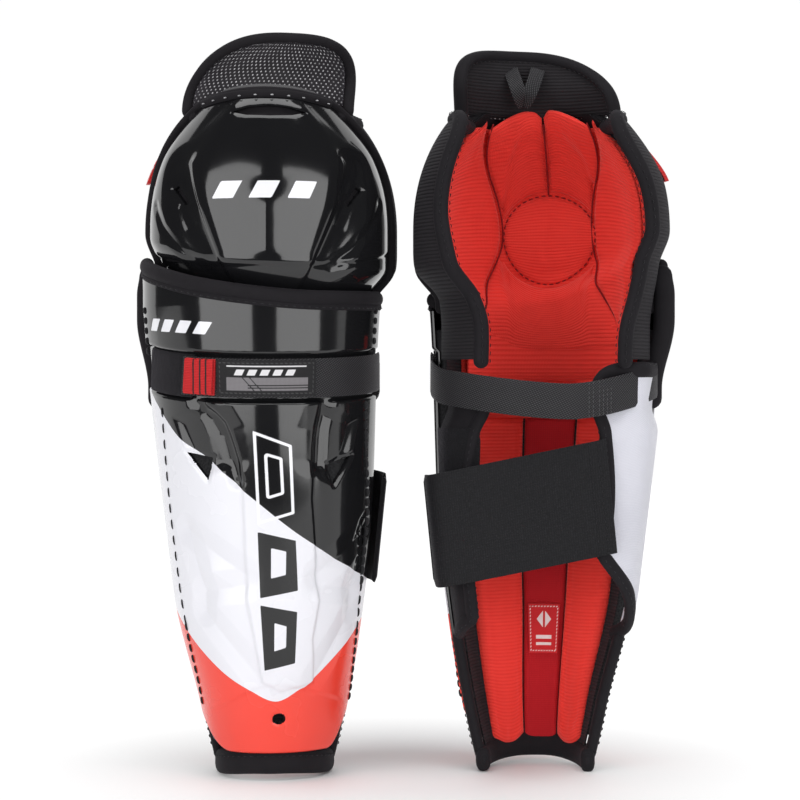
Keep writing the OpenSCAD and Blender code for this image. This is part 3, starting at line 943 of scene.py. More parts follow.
BLOCKS = [[(-5, 198), (14, 190), (16, 152), (-3, 146)],
          [(-3, 142), (17, 137), (19, 109), (-2, 105)],
          [(-2, 101), (19, 97), (19, 68), (0, 64)]]
SLOTS = [[(2, 184), (8, 182), (9, 164), (3, 162)],
         [(4, 133), (12, 131), (12, 118), (4, 116)],
         [(6, 91), (13, 89), (13, 77), (6, 75)]]


def no_deeper(off, limit):
    """Keeps a relief from going below -limit, with a soft corner."""
    off = off + limit
    return (off + np.sqrt(off**2 + 0.6)) / 2 - limit


def shin_relief(t, z):
    """Height of the shell's moulded form over the plain shin."""
    t = t - turn(z)
    clear = ramp(np.abs(z - strap_z(t)), 11.5, 14.5)    # away from the strap's groove
    off = 1.0 - 2.2 * (1 - clear)
    for line in VALLEYS:
        off = off - 1.8 * (1 - ramp(beside(t, z, line), 0, 6)) * clear
    for outline in SCOOPS:
        off = off - 2.4 * ramp(inside(t, z, outline), -1.5, 6) * clear
    off = off + 1.6 * ramp(inside(t, z, SPINE), -1.2, 1.4) * clear
    for line in CREASES:
        off = off - 1.5 * np.clip(1 - beside(t, z, line) / 10, 0, 1)
    arc = height_of([(-60, 38), (-33, 44.5), (6, 56), (49, 48), (80, 40)], t)
    off = off - 0.9 * (1 - ramp(z, arc - 2, arc + 0.8)) * (1 - ramp(np.abs(t - 6), 40, 70))
    for outline in VENTS:
        off = off - 0.8 * ramp(inside(t, z, outline), -2.4, 0)
    return no_deeper(off - 0.5 * ramp(inside(t, z, LACE_HOLE), -1.6, 0), 3.2)


def shin_wall(off):
    """The shell's surface, that far over its relief."""
    return lambda t, z: shin_at(t, z, shin_relief(t, z) + off)


def slanted_bar(x, z, wide, high, lean_by):
    """Outline of a plain slanted bar, from its lower left corner."""
    return [(x, z), (x + wide, z), (x + wide + lean_by, z + high), (x + lean_by, z + high)]


def any_of(t, z, outlines):
    """Distance inside the nearest of some outlines."""
    return np.max([inside(t, z, outline) for outline in outlines], 0)


def shin_print(t, z):
    """The shell's colour areas and its generic marks."""
    t = t - turn(z)
    white, red = ((height_of(line, t) - z) * 0.8 for line in (BLACK_EDGE, RED_EDGE))
    first, *others = (np.minimum(inside(t, z, b), -inside(t, z, s)) for b, s in zip(BLOCKS, SLOTS))
    bars = any_of(t, z + 0.08 * t, [slanted_bar(x, 249, 7, 7, 4) for x in (-68, -57, -46, -35)])
    return {"white": np.minimum(white, -red), "red": red, "mark_dark": np.max(others, 0),
            "mark_pale": np.maximum(0.75 - np.abs(first - 0.75), bars)}


def shin_shell():
    t = np.linspace(-SHELL_REACH, SHELL_REACH, 250)
    top = roll_z(t) - 2 - rounding(np.abs(t), 74, 10.2, 5)
    low = 16 + 18 * ramp(-t, 34, 84) ** 1.3 + 18 * ramp(t, 58, 84) ** 1.3
    z = lerp(low, top, np.linspace(0, 1, 360)[:, None])
    t = np.broadcast_to(t, z.shape)

    def outer(t, z):
        edge = np.minimum(SHELL_REACH - np.abs(t), np.minimum(top[None] - z, z - low))
        return shin_at(t, z, shin_relief(t, z) - rounding(-edge, -1.3, 1.3, 0.9))

    holes = [*[[(a + turn(b), b) for a, b in vent] for vent in VENTS], LACE_HOLE]
    me = plate("shin_shell_look", t, z, outer, shin_wall(-SHELL_WALL), ["printed", "gloss"], shin_print,
               lambda t, z: (t - turn(z), z), holes=holes, cell=0.7, sides=(0, 1, 1))
    crisp(me, 48)
    place("shin_shell_look", me, "shin")


def shin_foam():
    """Foam behind the shell, seen through its vents."""
    t, z = grid(-82, 82, 130, 20, 256, 120)
    me = plate("shin_foam_look", t, z, shin_wall(-SHELL_WALL - 0.4), layer(shin_at, -6.9), ["foam"],
               holes=[LACE_HOLE])
    place("shin_foam_look", tidy(me), "shin")


LEFT_ROW = [(43, -67), (54, -64), (74, -62.5), (92, -61), (120, -62.3), (155, -63.5), (208, -62)]
RIGHT_ROW = [(44, 82), (67, 75), (94, 71.4), (120, 70), (150, 70.6), (190, 64), (212, 62)]


def shell_stitches():
    shape = Shape()
    for row, low, high, length, pitch, thick in (
            (LEFT_ROW, 90, 208, 7.2, 8.9, 1.2), (LEFT_ROW, 43, 86, 6.4, 6.4, 1.9),
            (RIGHT_ROW, 112, 212, 6.6, 5.6, 2.4), (RIGHT_ROW, 86, 108, 6.6, 8.2, 1.4),
            (RIGHT_ROW, 44, 82, 6, 5.8, 2.0)):
        z = np.linspace(low, high, 60)
        line = shin_facing(height_of(row, z), z, 1.1)
        stitches(line, outward(line), length, pitch, thick, shape, lift=0.15)
    for t in (-76, 70):
        z = np.linspace(243, 266, 10)
        line = shin_facing(t, z, 1.0)
        stitches(line, outward(line), 5.2, 6.4, 1.8, shape)
    place("shell_stitching_look", shape.mesh("shell_stitching_look", [MAT["thread"]]), "shin")


# ---- knee cup -------------------------------------------------------------

FACET = [(-39, 347), (-19, 377), (25, 377), (44, 347), (22, 289), (15, 266), (-12, 266), (-19, 289)]
CUP_VALLEYS = [[(-47, 345), (-38, 318), (-29, 294)], [(49, 345), (41, 318), (32, 294)]]
CUP_LINES = [[(-63, 325), (-55, 313), (-43, 300), (-30, 289)],
             [(66, 326), (56, 312), (43, 298), (33, 290)],
             [(-41.5, 322.6), (-36.4, 311.4)], [(42.2, 322.6), (38, 311.6)]]
CUP_SLOTS = [[(-50, 333), (-47, 335), (-38.5, 325.5), (-40.5, 323.5)],
             [(53, 332.5), (50, 334.5), (41.5, 324.5), (43.5, 322.5)]]
TOP_SLOT = [(-20, 374.5), (-10, 377), (4, 378), (17, 377), (27, 374.5), (17, 372.5), (4, 372),
            (-10, 372.5)]
CUP_BARS = [slanted_bar(x, 326, 10, 9.5, 4) for x in (-23, -6, 11)]


def cup_relief(t, z):
    """Height of the knee cup's facets, valleys and slots over the plain cup."""
    edge = 1.5 + 4.5 * ramp(z, 340, 366)
    off = 1.4 * ramp(inside(t, z, FACET) / edge, -1, 1) - 2.2 * ramp(np.abs(t), 58, 86)
    for line in CUP_VALLEYS:
        off = off - 3.0 * (1 - ramp(beside(t, z, line), 1, 15))
    off = off - 2.2 * ramp(z, 352, 376) * ramp(-inside(t, z, FACET), 0, 12)
    low = np.clip(1 - np.abs(t - 2) / 17, 0, 1) * ramp(z, 286, 300) * (1 - ramp(z, 318, 340))
    off = off + 2.0 * low
    for line in CUP_LINES:
        off = off - 1.1 * np.clip(1 - beside(t, z, line) / 4, 0, 1)
    off = off - 1.2 * (1 - ramp(z, 288 + 0.0015 * t**2, 291 + 0.0015 * t**2))
    for outline in CUP_SLOTS:
        off = off - 0.9 * ramp(inside(t, z, outline), -2.5, 0)
    return no_deeper(off - 0.5 * ramp(inside(t, z, TOP_SLOT), -1.5, 0), 3.4)


def cup_top(t):
    """Height of the cup's upper rim."""
    return KNEE_TOP - 2.5 * (np.asarray(t) / 50) ** 2


def cup_wall(off):
    """The cup's surface, that far over its relief."""
    return lambda t, z: knee_at(t, z, cup_relief(t, z) + off)


def cup_grid(columns, rows, low, top, past):
    """Angles and heights over the cup, out to that far past its rim."""
    u, v = np.linspace(-1, 1, columns), np.linspace(0, 1, rows)[:, None]
    z = lerp(low, cup_top(u * 55) + top, v)
    return u * (knee_reach(z) + past), z


def knee_cup():
    t, z = cup_grid(230, 170, roll_z(np.linspace(-91, 91, 230)) - 3, 0, -0.5)
    me = plate("knee_shell_look", t, z, cup_wall(0), cup_wall(-SHELL_WALL), ["knee"],
               lambda t, z: {"mark_pale": any_of(t, z, CUP_BARS)}, holes=[*CUP_SLOTS, TOP_SLOT], cell=0.8)
    crisp(me, 48)
    place("knee_shell_look", me, "knee")


def knee_edge():
    """The padding behind the cup, and the bound edge that stands out all round it."""
    def foam_front(t, z):
        return np.minimum(-2.7, cup_relief(t, z) - SHELL_WALL - 0.3)

    t, z = cup_grid(72, 50, 250, 2.5, 1.5)
    verts, faces, _, ft, fz = slab(t, z, lambda t, z: knee_at(t, z, foam_front(t, z)),
                                   lambda t, z: knee_at(t, z, np.minimum(-6.7, foam_front(t, z) - 1)))
    shape = Shape().add(verts, faces, np.stack([ft * 1.15, fz], -1))
    z = np.linspace(268, 381, 60)
    left, right = (knee_at(s * (knee_reach(z) + 1.5), z, -1.4) for s in (-1, 1))
    u = np.linspace(-1, 1, 40)
    over = knee_at(u * 55, cup_top(u * 55) + 2.0, -2.0)
    path = evenly(np.vstack([left, over, right[::-1]]), 1.6)
    normals = unit((path - [0, 10, 0]) * [1, 1, 0])
    sweep(path, normals, oval(2.3, 3.0, 12), into=shape, round_ends=True)
    stitches(path + normals * 2.34, normals, 2.6, 9.3, 0.6, shape, mat=1, lift=0.3)
    place("knee_foam_cover", sewn("knee_edge", shape, ["tricot", "pale_thread"]), "knee",
          "knee_foam")

    trim = Shape()
    u = np.linspace(-1, 1, 60)

    def along_top(middle, half, rise, off):
        t = middle + u * half
        path = evenly(knee_at(t, cup_top(t) + rise, off), 1.2)
        return path, outward(path)

    sweep(*along_top(0, 54, 0.2, -0.6), oval(2.4, 1.7, 12), into=trim, round_ends=True)
    stitches(*along_top(0, 50, -0.8, 1.1), 1.8, 9.3, 0.7, trim, mat=1, lift=0.3)
    sweep(*along_top(4, 42, 4.0, -3.4), oval(2.1, 2.3, 12), into=trim, round_ends=True, mat=2)
    me = sewn("piping", trim, ["tricot", "pale_thread", "piping"], None)
    place("cup_top_piping", me, "knee")


# ---- knee liner -----------------------------------------------------------

SEAM_IN = [(240, 53), (252, 50), (264, 46), (290, 28), (313, 19.6), (340, 26.5), (371, 50), (384, 62)]
SEAM_OUT = [(240, 80), (252, 76), (264, 67), (290, 44), (313, 36.5), (340, 40.5), (371, 61), (384, 70)]
DISC = (-8, 311.5, 26, 27.5)                # middle and half sizes of the kneecap pad
DISC_R = 53                                 # the liner's radius there
SEAM_OFF = -11.5


def seam(z, inner):
    """Angle of a seam beside the kneecap pad."""
    return height_of(SEAM_IN, z) if inner else -height_of(SEAM_OUT, z)


def side_cushions():
    parts = []
    for s in (-1, 1):
        def at(u, v, off, s=s):
            top = lerp(381, 366, (u if s > 0 else 1 - u) ** 2)
            z = lerp(244, top, v)
            narrow = 26 * (1 - ramp(z, 262, 312)) if s > 0 else 16 * (1 - ramp(z, 245, 290))
            a, b = seam(z, s > 0) + s * 0.2, s * (knee_reach(z) - 1.5 - narrow)
            t = lerp(a, b, u) if s > 0 else lerp(b, a, u)
            return knee_at(t, z, off)
        shape = pad(at, 22, 46, SEAM_OFF, -17.5, 0.42, 3, lambda u, v: (u * 50, v * 120))
        parts.append(soft("side_cushion", shape, "red_rib", 5, 2.2))
    place("knee_side_cushion_pads", joined("side_cushions", parts), "knee",
          "knee_side_cushions")


def disc_edge(t):
    """Height of the ring round the kneecap pad over the pad's middle, at that angle."""
    x = DISC_R * np.sin(np.radians(t)) - DISC[0]
    return (DISC[3] + 1.2) * np.sqrt(np.clip(1 - (x / (DISC[2] + 1.2)) ** 2, 0, 1))


def top_cushions():
    parts = []
    for s in (-1, 1):
        def at(u, v, off, s=s):
            z = lerp(DISC[1], 386, v)
            for _ in range(3):              # angle and height depend on each other, and settle
                edge, split = seam(z, s > 0) - s * 0.2, -9 + s * 0.2
                t = lerp(split, edge, u) if s > 0 else lerp(edge, split, u)
                notch = 4 * np.exp(-(((t + 9) / 6) ** 2))
                top = 389 - notch - 10 * np.clip(np.abs(t + 6) / 55, 0, 1.2) ** 3
                z = lerp(DISC[1] + disc_edge(t), top, v)
            return knee_at(t, np.minimum(z, 389), off - 5 * ramp(v, 0.55, 0.9))
        shape = pad(at, 22, 28, SEAM_OFF, -17.0, 0.42, 3, lambda u, v: (u * 30, 60 * v))
        parts.append(soft("top_cushion", shape, "red_rib", 5, 2.0))

    def below(u, v, off):
        z = lerp(250, DISC[1], v)
        for _ in range(3):
            t = lerp(seam(z, False) + 0.2, seam(z, True) - 0.2, u)
            z = lerp(244, DISC[1] - disc_edge(t), v)
        return knee_at(t, z, off)
    shape = pad(below, 40, 30, SEAM_OFF, -16.5, 0.42, 3, lambda u, v: (u * 70, 60 * v))
    parts.append(soft("lower_cushion", shape, "red_rib", 5, 2.0))
    u, z = grid(-1, 1, 60, 244, 376, 50)
    t = u * (knee_reach(z) - 3 - 26 * (1 - ramp(z, 262, 312)))
    parts.append(tidy(plate("liner_cloth", t, z, layer(knee_at, LINER_OUT), layer(knee_at, SEAM_OFF - 0.6),
                            ["red_rib"], st=lambda t, z: (t * 1.1, z))))
    lines = Shape()
    low, high = np.linspace(254, 378, 90), np.linspace(DISC[1] + DISC[3], 380, 40)
    for t, z, deep in ((seam(low, True), low, 3), (seam(low, False), low, 3), (-9 + 0 * high, high, 4)):
        path = knee_at(t, z, SEAM_OFF - 2.6 - deep * ramp(z, 345, 375))
        sweep(path, -outward(path), oval(0.5, 0.5, 8), into=lines)
    parts.append(tidy(lines.mesh("seams", [MAT["dark_red_thread"]])))
    place("knee_top_cushion_pads", joined("top_cushions", parts), "knee",
          "knee_top_cushions")


def kneecap():
    def at(u, v, off):
        a, b = 2 * u - 1, 2 * v - 1
        x = DISC[0] + DISC[2] * a * np.sqrt(1 - b * b / 2) * (1 + 0.07 * b)
        z = DISC[1] + DISC[3] * b * np.sqrt(1 - a * a / 2)
        t = np.degrees(np.arcsin(np.clip(x / DISC_R, -1, 1)))
        return knee_at(t, z, off)
    shape = pad(at, 26, 26, SEAM_OFF, -16.5, 0.35, 3, lambda u, v: (u * 52, v * 56))
    me = soft("kneecap", shape, "red_rib", 5, 1.6)
    a = np.linspace(0, 2 * np.pi, 90)
    x = DISC[0] + (DISC[2] - 0.6) * np.cos(a) * (1 + 0.07 * np.sin(a))
    ring = knee_at(np.degrees(np.arcsin(x / DISC_R)), DISC[1] + (DISC[3] - 0.6) * np.sin(a), -14.6)
    seams = stitches(ring, -outward(ring), 2.6, 4.0, 0.8, lift=0.2)
    place("kneecap_pad_look", joined("kneecap", [me, seams.mesh("ring", [MAT["dark_red_thread"]])]), "knee")


def liner_bridge():
    """The liner's cloth between shin and knee, which bends with them."""
    def at(u, v, off):
        t = lerp(-80, 60, u)
        low, high = shin_at(t, 226, -12), knee_at(t, 262, -11)
        k = ramp(v, 0, 1)[..., None]
        return low * (1 - k) + high * k + (off - LINER_OUT)[..., None] * around(t, 0, 1, 1)
    shape = pad(at, 40, 14, LINER_OUT, -12.5, 0.42, 3, lambda u, v: (u * 110, v * 36))
    me = soft("liner_bridge", shape, "red_rib", 3, 0.8)
    place("liner_bridge", me, "shin",
          span=("shin", "knee", (0, 0, 238), (0, 0, 260)))


# ---- shin liner -----------------------------------------------------------

def channel_edge(z):
    """Inner side of the recessed channel, which narrows upwards."""
    return 13 - 4 * ramp(z, 14, 100)


def shin_lining():
    """Black ribbed cloth over the shin's foam."""
    t, z = grid(-82, 82, 70, 14, 243, 60)
    me = plate("lining", t, z, layer(shin_at, -6.4), layer(shin_at, -7.3), ["black_rib"])
    place("shin_lining", tidy(me), "shin")


def shin_ribs():
    parts = []
    for s in (-1, 1):
        def at(u, v, off, s=s):
            z = lerp(11, 206.5, v)
            near, far = (channel_edge(z), 56) if s > 0 else (-66, -23)
            tip = 6 * np.abs(2 * u - 1) ** 2.5 * (1 - v) ** 6
            return shin_at(lerp(near, far, u), z + tip, off)
        shape = pad(at, 18, 70, LINER_OUT, -18.0, 0.45, 2.8, lambda u, v: (u * 40, v * 192))
        parts.append(soft("rib", shape, "red_rib", 5, 2.2))
    place("shin_rib_pads", joined("shin_ribs", parts), "shin", "shin_ribs")


def shin_channel():
    def at(u, v, off):
        z = lerp(12, 206, v)
        return shin_at(lerp(-23.5, channel_edge(z) + 0.5, u), z, off)
    shape = pad(at, 14, 60, LINER_OUT, -11.0, 0.3, 4, lambda u, v: (u * 26, v * 192))
    me = soft("channel", shape, "red_channel", 3, 0.8)
    place("shin_channel_panel", me, "shin", "shin_channel")


def upper_cushion():
    def at(u, v, off):
        t = lerp(-70, 58, u)
        deep = 0.6 + 0.4 * np.clip(ramp(np.abs(t + 7), 11, 22), 0, 1)
        return shin_at(t, lerp(203, 244, v), LINER_OUT + (off - LINER_OUT) * deep)
    shape = pad(at, 46, 16, LINER_OUT, -17.0, 0.4, 3, lambda u, v: (u * 116, v * 38))
    me = soft("upper_cushion", shape, "red_rib", 4, 1.2)
    place("upper_shin_pad", me, "shin", "upper_shin_cushion")


def liner_label():
    def flat(t, z):
        return (t + 7) * 0.78, z

    def marks(t, z):
        x, y = flat(t, z)
        gem = 5.2 - np.abs(x) * 1.05 - np.abs(y - 84) * 0.9
        bars = np.maximum(1.1 - np.abs(y - 73.5), 0.8 - np.abs(y - 69.5))
        bars = np.minimum(bars, 5.5 - np.abs(x))
        border = 0.35 - np.abs(np.minimum(10.4 - np.abs(x), 14.2 - np.abs(y - 78.5)) - 1.2)
        dashes = np.minimum(border, 0.5 - np.abs((x + y) % 2 - 1))
        return {"mark_pale": np.max([np.minimum(gem, np.abs(x) - 0.7), bars, dashes], 0)}

    t, z = grid(-20.5, 6.5, 80, 64, 93, 80)
    me = plate("label", t, z, layer(shin_at, -11.4), layer(shin_at, -12.2), ["label"], marks, flat)
    crisp(me, 40)
    place("liner_label_look", me, "shin")


def ankle_binding():
    shape = Shape()
    t = np.linspace(-96, 96, 130)
    arch = 3.4 * (1 - ramp(np.abs(t - 4), 10, 86))
    path = shin_at(t, 7.2 + arch - 0.6 * ramp(-t, 60, 90), -4.2)
    half = np.array([7.0, 4.2])
    section = oval(1, 1, 18)
    sweep(path, outward(path), np.sign(section) * np.abs(section) ** 0.72 * half, into=shape,
          round_ends=True)
    for s in (-1, 1):
        z = np.linspace(10, 78, 40)
        side = shin_at(s * 90.5, z, -3.4)
        sweep(side, outward(side), oval(4.6, 3.3, 14), into=shape, round_ends=True)
        z = np.linspace(16, 76, 30)
        stitches(shin_at(s * 90.5, z, 0.0), outward(shin_at(s * 90.5, z)), 2.2, 4.2, 0.7, shape, mat=1)
    edge = shin_at(t, 10.8 + arch, -0.4)
    stitches(edge, outward(edge), 2.0, 4.0, 0.6, shape, mat=1, lift=0.1)
    place("ankle_binding_look", sewn("ankle", shape, ["tricot", "thread"]), "shin")


def top_roll():
    shape = Shape()
    t = np.linspace(-86, 84, 120)
    path = around(t, roll_z(t), 66.4, 66.4) + [lean(SHIN_TOP), 0, 0]
    sweep(path, outward(path), oval(4.6, 4.2, 18), into=shape, round_ends=True)
    hem = shin_at(t, roll_z(t) - 4.6, 0.6)
    sweep(hem, outward(hem), oval(2.0, 1.1, 12), into=shape, round_ends=True)
    stitches(shin_at(t, roll_z(t) - 5.2, 1.6), outward(hem), 2.6, 4.4, 0.6, shape, mat=1, lift=0.15)
    z = np.linspace(216, 287, 40)
    half = 64.6 + 7.2 * ramp(z, 222, 262) - 1.5 * ramp(z, 276, 288)
    flange = around(-90 - 4 * ramp(z, 216, 250), z, half, 60)
    sweep(flange, outward(flange) * [1, 0.1, 1], oval(4.2, 6.2, 16), into=shape, round_ends=True)
    place("shin_top_roll_look", sewn("roll", shape, ["tricot", "thread"]), "shin")


# ---- web strap ------------------------------------------------------------

def strap_z(t):
    """Height of the web strap's middle: it sags to the front."""
    t = np.asarray(t, float)
    return STRAP_MID - 1.2 + np.where(t > 0, 5, 8.5) * (t / 84) ** 2


def strip(t0, t1, half, off, wall, step=1.0, into=None):
    """A piece of strap that lies on the shin, along the groove, that far off the shell."""
    t = np.linspace(t0, t1, max(3, int(abs(t1 - t0) / step)))
    path = shin_facing(t, strap_z(t), off)
    return sweep(path, outward(path), tape(2 * half, wall, 14), into=into)


def web_straps():
    front = strip(-42, 86, 10.8, 0.5, 1.5)
    place("front_web_strap_look", sewn("front_web", front, ["webbing"]), "strap_tail")

    t = np.linspace(91, 269, 160)
    x, y = -2.2 + 64.4 * np.sin(np.radians(t)), -50.3 * np.cos(np.radians(t))
    z = 214.2 + np.where(x > -14, 9.5, 11.5) * (np.abs(x + 14) / np.where(x > -14, 76, 50)) ** 1.6
    z = z + 5 * (1 - ramp(y, -4, 24)) * (x > 0)
    path = np.stack([x, y, z], -1)
    rear = sweep(path, outward(path), tape(20, 1.5, 12))
    for x in (-22, -24.5, -27, -29.5, -32, -34.5):
        k = np.argmin(np.hypot(path[:, 0] - x, path[:, 1] - 40))
        column = path[k] + np.outer(np.linspace(-9, 9, 20), [0, 0, 1])
        normals = np.repeat(outward(path[k:k + 1]), 20, 0)
        stitches(column + normals * 1.5, normals, 1.8, 2.6, 0.5, rear, mat=1, lift=0.15)
    place("rear_web_strap_look", sewn("rear_web", rear, ["webbing", "grey_thread"]), "shin")

    patch = strip(-72, -36, 12.0, -0.5, 1.7)
    place("strap_loop_patch_look", sewn("patch", patch, ["pile"]), "shin")


def badge():
    def on_strap(off):
        return lambda t, y: shin_facing(t, strap_z(t) + y, off)

    def flat(t, y):
        return (t - 1.8) * 1.17, y

    def marks(t, y):
        x, y = flat(t, y)
        bars = any_of(x, y, [slanted_bar(c, 1.6, 4.5, 3.2, 1.5) for c in (-18, -11, -4, 3, 10)])
        rule = np.minimum(0.35 - np.abs(y - 6.6), 22 - np.abs(x))
        lines = np.max([0.35 - np.abs(x + c + y * 0.9) for c in (13.0, 9.0)], 0)
        level = np.max([0.3 - np.abs(y - c) for c in (-3.9, -5.3)], 0)
        lines = np.where(x > -10.5, np.maximum(lines, level), lines)
        block = np.minimum(22.6 - np.abs(x - 0.4), 3.6 - np.abs(y + 3.2))
        return {"edge": np.minimum(27.6 - np.abs(x), 9.8 - np.abs(y)),
                "mark_pale": np.maximum(bars, rule), "mark_dark": -np.minimum(block, -lines)}

    t, y = grid(-22, 25.5, 150, -9.8, 9.8, 60)
    me = plate("badge", t, y, on_strap(2.9), on_strap(2.2), ["badge"], marks, flat)
    crisp(me, 40)
    place("strap_label_look", me, "strap_tail")


def pull_tab():
    shape = Shape()
    for off, a, b in ((2.2, -38.8, -22.8), (4.0, -38.4, -23.4)):
        strip(a, b, 10 - 0.3 * (off > 3), off, 1.5, 0.6, into=shape)
    verts = np.vstack(shape.verts)
    ang = np.degrees(np.arctan2(verts[:, 0] - lean(STRAP_MID), -verts[:, 1])) - turn(STRAP_MID)
    stripes = np.max([0.55 - np.abs(ang + c) for c in (33.0, 29.5, 26.5)], 0)
    me = tidy(shape.mesh("pull", [MAT["pull"]], {"mark_dark": stripes}), 50)
    place("strap_pull_tab_look", me, "strap_tail")


# ---- calf wings and elastic strap -----------------------------------------

def wing_off(z, off):
    """The calf wings' tops lie farther in, behind the rear strap."""
    return off - 5 * ramp(z, 196, 212)


def calf_at(t, z, off):
    """A point of the calf wings: their free parts curl in, under the elastic strap."""
    t = np.asarray(t, float)
    inner = t > 0
    curl = ramp(np.abs(t) + 8 * inner, 116, 146)
    curled_r = np.where(inner, 46, 52)
    r = lerp(shin_r(z) + 5 * ramp(-t, 84, 98), curled_r, curl) + off
    p = around(t, z, r, r)
    p[..., 0] += lean(p[..., 2]) + 2 * pinch(t, p[..., 2])
    return p


def calf_wing(side, t0, t1, top, look):
    """A calf wing: a thin padded panel, with a bound free edge that turns over a round top."""
    slope = 48 if side < 0 else 12

    def limit(v, k=1.0):
        z = lerp(WING_LOW + 1 + slope * k**1.3, top, v)
        far = t1 + 6 * ramp(z, 150, 225) * side
        far = far - side * rounding(z, top - 14, 14.2, 15)
        return z, far - side * 2 * np.sin(np.pi * v)

    def at(u, v, off):
        k = u if side > 0 else 1 - u
        z, far = limit(v, k)
        return calf_at(lerp(t0, far, k), z, wing_off(z, off))
    shape = pad(at, 24, 64, -2.6, -6.4, 0.3, 5, lambda u, v: (u * 50, v * 150))
    me = soft("calf_wing", shape, look, 2, 0.8)
    v = np.linspace(0, 1, 90)
    z, far = limit(v)
    path = evenly(calf_at(far, z, wing_off(z, -4.5)), 2)
    top_t = np.linspace(float(far[-1]), t0, 20)
    over = calf_at(top_t, top, wing_off(top, -4.5))
    k = np.linspace(0, 1, 20)[:-1]
    under = calf_at(lerp(t0, float(far[0]), k), WING_LOW + 1 + slope * k**1.3, -4.5)
    path = evenly(np.vstack([under, path, over[1:]]), 2.0)
    edge = bound_edge(path, side, oval(4.6, 3.3, 14), 3.0, (2.2, -2.2), (2.4, 4.2, 0.6))
    return joined("calf_wing", [me, edge])


def calf_wings():
    place("outer_calf_wing_look", calf_wing(-1, -86, -137, 232, "white"), "calf_wing_outer")
    place("inner_calf_wing_look", calf_wing(1, 86, 120, 224, "tricot"), "calf_wing_inner")
    t, z = grid(97, 128, 36, 118, 199, 90)
    t = 97 + (t - 97) * (31 - rounding(z, 191, 8.2, 6)) / 31
    me = plate("calf_patch", t, z, layer(calf_at, -0.6), layer(calf_at, -2.3), ["pile"])
    place("calf_loop_patch_look", tidy(me, 40), "calf_wing_inner")


ELASTIC_MID = sum(c[2] for c in cad_mm("elastic_strap")) / 2
ELASTIC = [(-37.5, 43.6), (-26, 43.2), (-8, 41.5), (10, 39.5), (25, 38), (42, 36), (54, 33.6), (59, 30.2),
           (61.4, 24), (62.4, 14)]
HOOK = [(62.4, 13.5), (62.5, 8), (62.4, 2), (62, -6)]


def slanted(p):
    """The elastic strap runs downhill to the inner side, and its ends lean."""
    p = np.array(p, float)
    x, z = p[..., 0].copy(), p[..., 2] - ELASTIC_MID
    p[..., 0], p[..., 2] = x + 0.1 * z, ELASTIC_MID + z - 0.21 * x
    return p


def flat_strap(line, width, wall):
    """A strap on edge along a line of (x, y) points, with its path and normals before the slant."""
    line = curve(line, 6)
    path = evenly(np.column_stack([line, np.full(len(line), ELASTIC_MID)]), 1.6)
    along = unit(np.gradient(path, axis=0))
    normals = np.stack([-along[:, 1], along[:, 0], 0 * along[:, 0]], -1)
    shape = sweep(path, normals, tape(width, wall, 26))
    shape.verts = [slanted(v) for v in shape.verts]
    return shape, path, normals


def elastic_strap():
    shape, path, normals = flat_strap(ELASTIC, 64, 2.0)
    rows = Shape()
    for k in (3, 6):
        row = path[k] + np.outer(np.linspace(-30, 30, 30), [0, 0, 1]) + normals[k] * 2.0
        stitches(row, np.repeat(normals[k:k + 1], 30, 0), 2.0, 3.4, 0.6, rows, lift=0.2)
    shape.add(slanted(np.vstack(rows.verts)), rows.faces, np.vstack(rows.st), 1)
    place("elastic_strap_look", sewn("elastic", shape, ["elastic", "thread"]), "elastic")
    hook, *_ = flat_strap(HOOK, 60, 2.4)
    place("elastic_hook_tab_look", sewn("hook", hook, ["pile"]), "elastic")


# ---- knee wings and tab ---------------------------------------------------

WING_BASE, WING_TOP = 237, 380


def wing_far(z, side):
    """How far round a knee wing goes; its upper corner is rounded."""
    if side > 0:
        line = [(230, 139), (258, 139), (275, 134), (292, 132), (320, 126), (355, 125), (390, 124)]
    else:
        line = [(230, 131), (251, 130), (275, 124), (315, 122), (337, 124), (360, 128), (390, 126)]
    return height_of(line, z) - rounding(z, WING_TOP - 20, 16.4, 16)


def wing_near(z):
    return knee_reach(z) + 2.5


def wing_at(t, z, off):
    """A point of the knee wings, which stand out behind the cup."""
    t, z = np.asarray(t, float), np.asarray(z, float)
    out = 6.0 * ramp(np.abs(t), 84, 104) * (1 - 0.8 * ramp(z, 335, 380) * (t < 0)) * ramp(z, 255, 300)
    return knee_at(t, z, off + out)


def knee_wing(side):
    def at(u, v, off):
        z = lerp(WING_BASE, WING_TOP - 4, v)
        k = u if side > 0 else 1 - u
        return wing_at(side * lerp(wing_near(z), wing_far(z, side) - 1.5, k), z, off)
    shape = pad(at, 22, 52, -1.8, -8.6, 0.45, 3, lambda u, v: (u * 40, v * 130))
    me = soft("knee_wing", shape, "black_rib", 4, 1.6)
    z = np.linspace(WING_BASE, WING_TOP - 4, 70)
    far = wing_far(z, side)
    k = np.linspace(0, 1, 16)
    over = wing_at(side * lerp(far[-1], wing_near(WING_TOP), k), WING_TOP - 4 + 0 * k, -5)
    path = evenly(np.vstack([wing_at(side * far, z, -5), over[1:]]), 2)
    edge = bound_edge(path, side, oval(4.4, 4.3, 16), 3.6, (-3.4, 3.0), (2.2, 4.4, 0.55))
    return joined("knee_wing", [me, edge])


def knee_wings():
    for side, where in ((-1, "outer"), (1, "inner")):
        place(f"{where}_knee_wing_look", knee_wing(side), f"knee_wing_{where}")

    def marks(t, z):
        bars = np.max([1.0 - np.abs(z - c) for c in (350, 355, 360)], 0)
        return {"mark_pale": np.minimum(bars, 2.4 - np.abs(t + 7.5 + knee_reach(z)))}

    k, z = grid(11, 4, 16, 341, 372, 40)
    me = plate("side_tab", -k - knee_reach(z), z, layer(wing_at, 1.6), layer(wing_at, -0.6), ["tab"], marks)
    place("side_tab_look", tidy(me, 40), "knee_wing_outer")


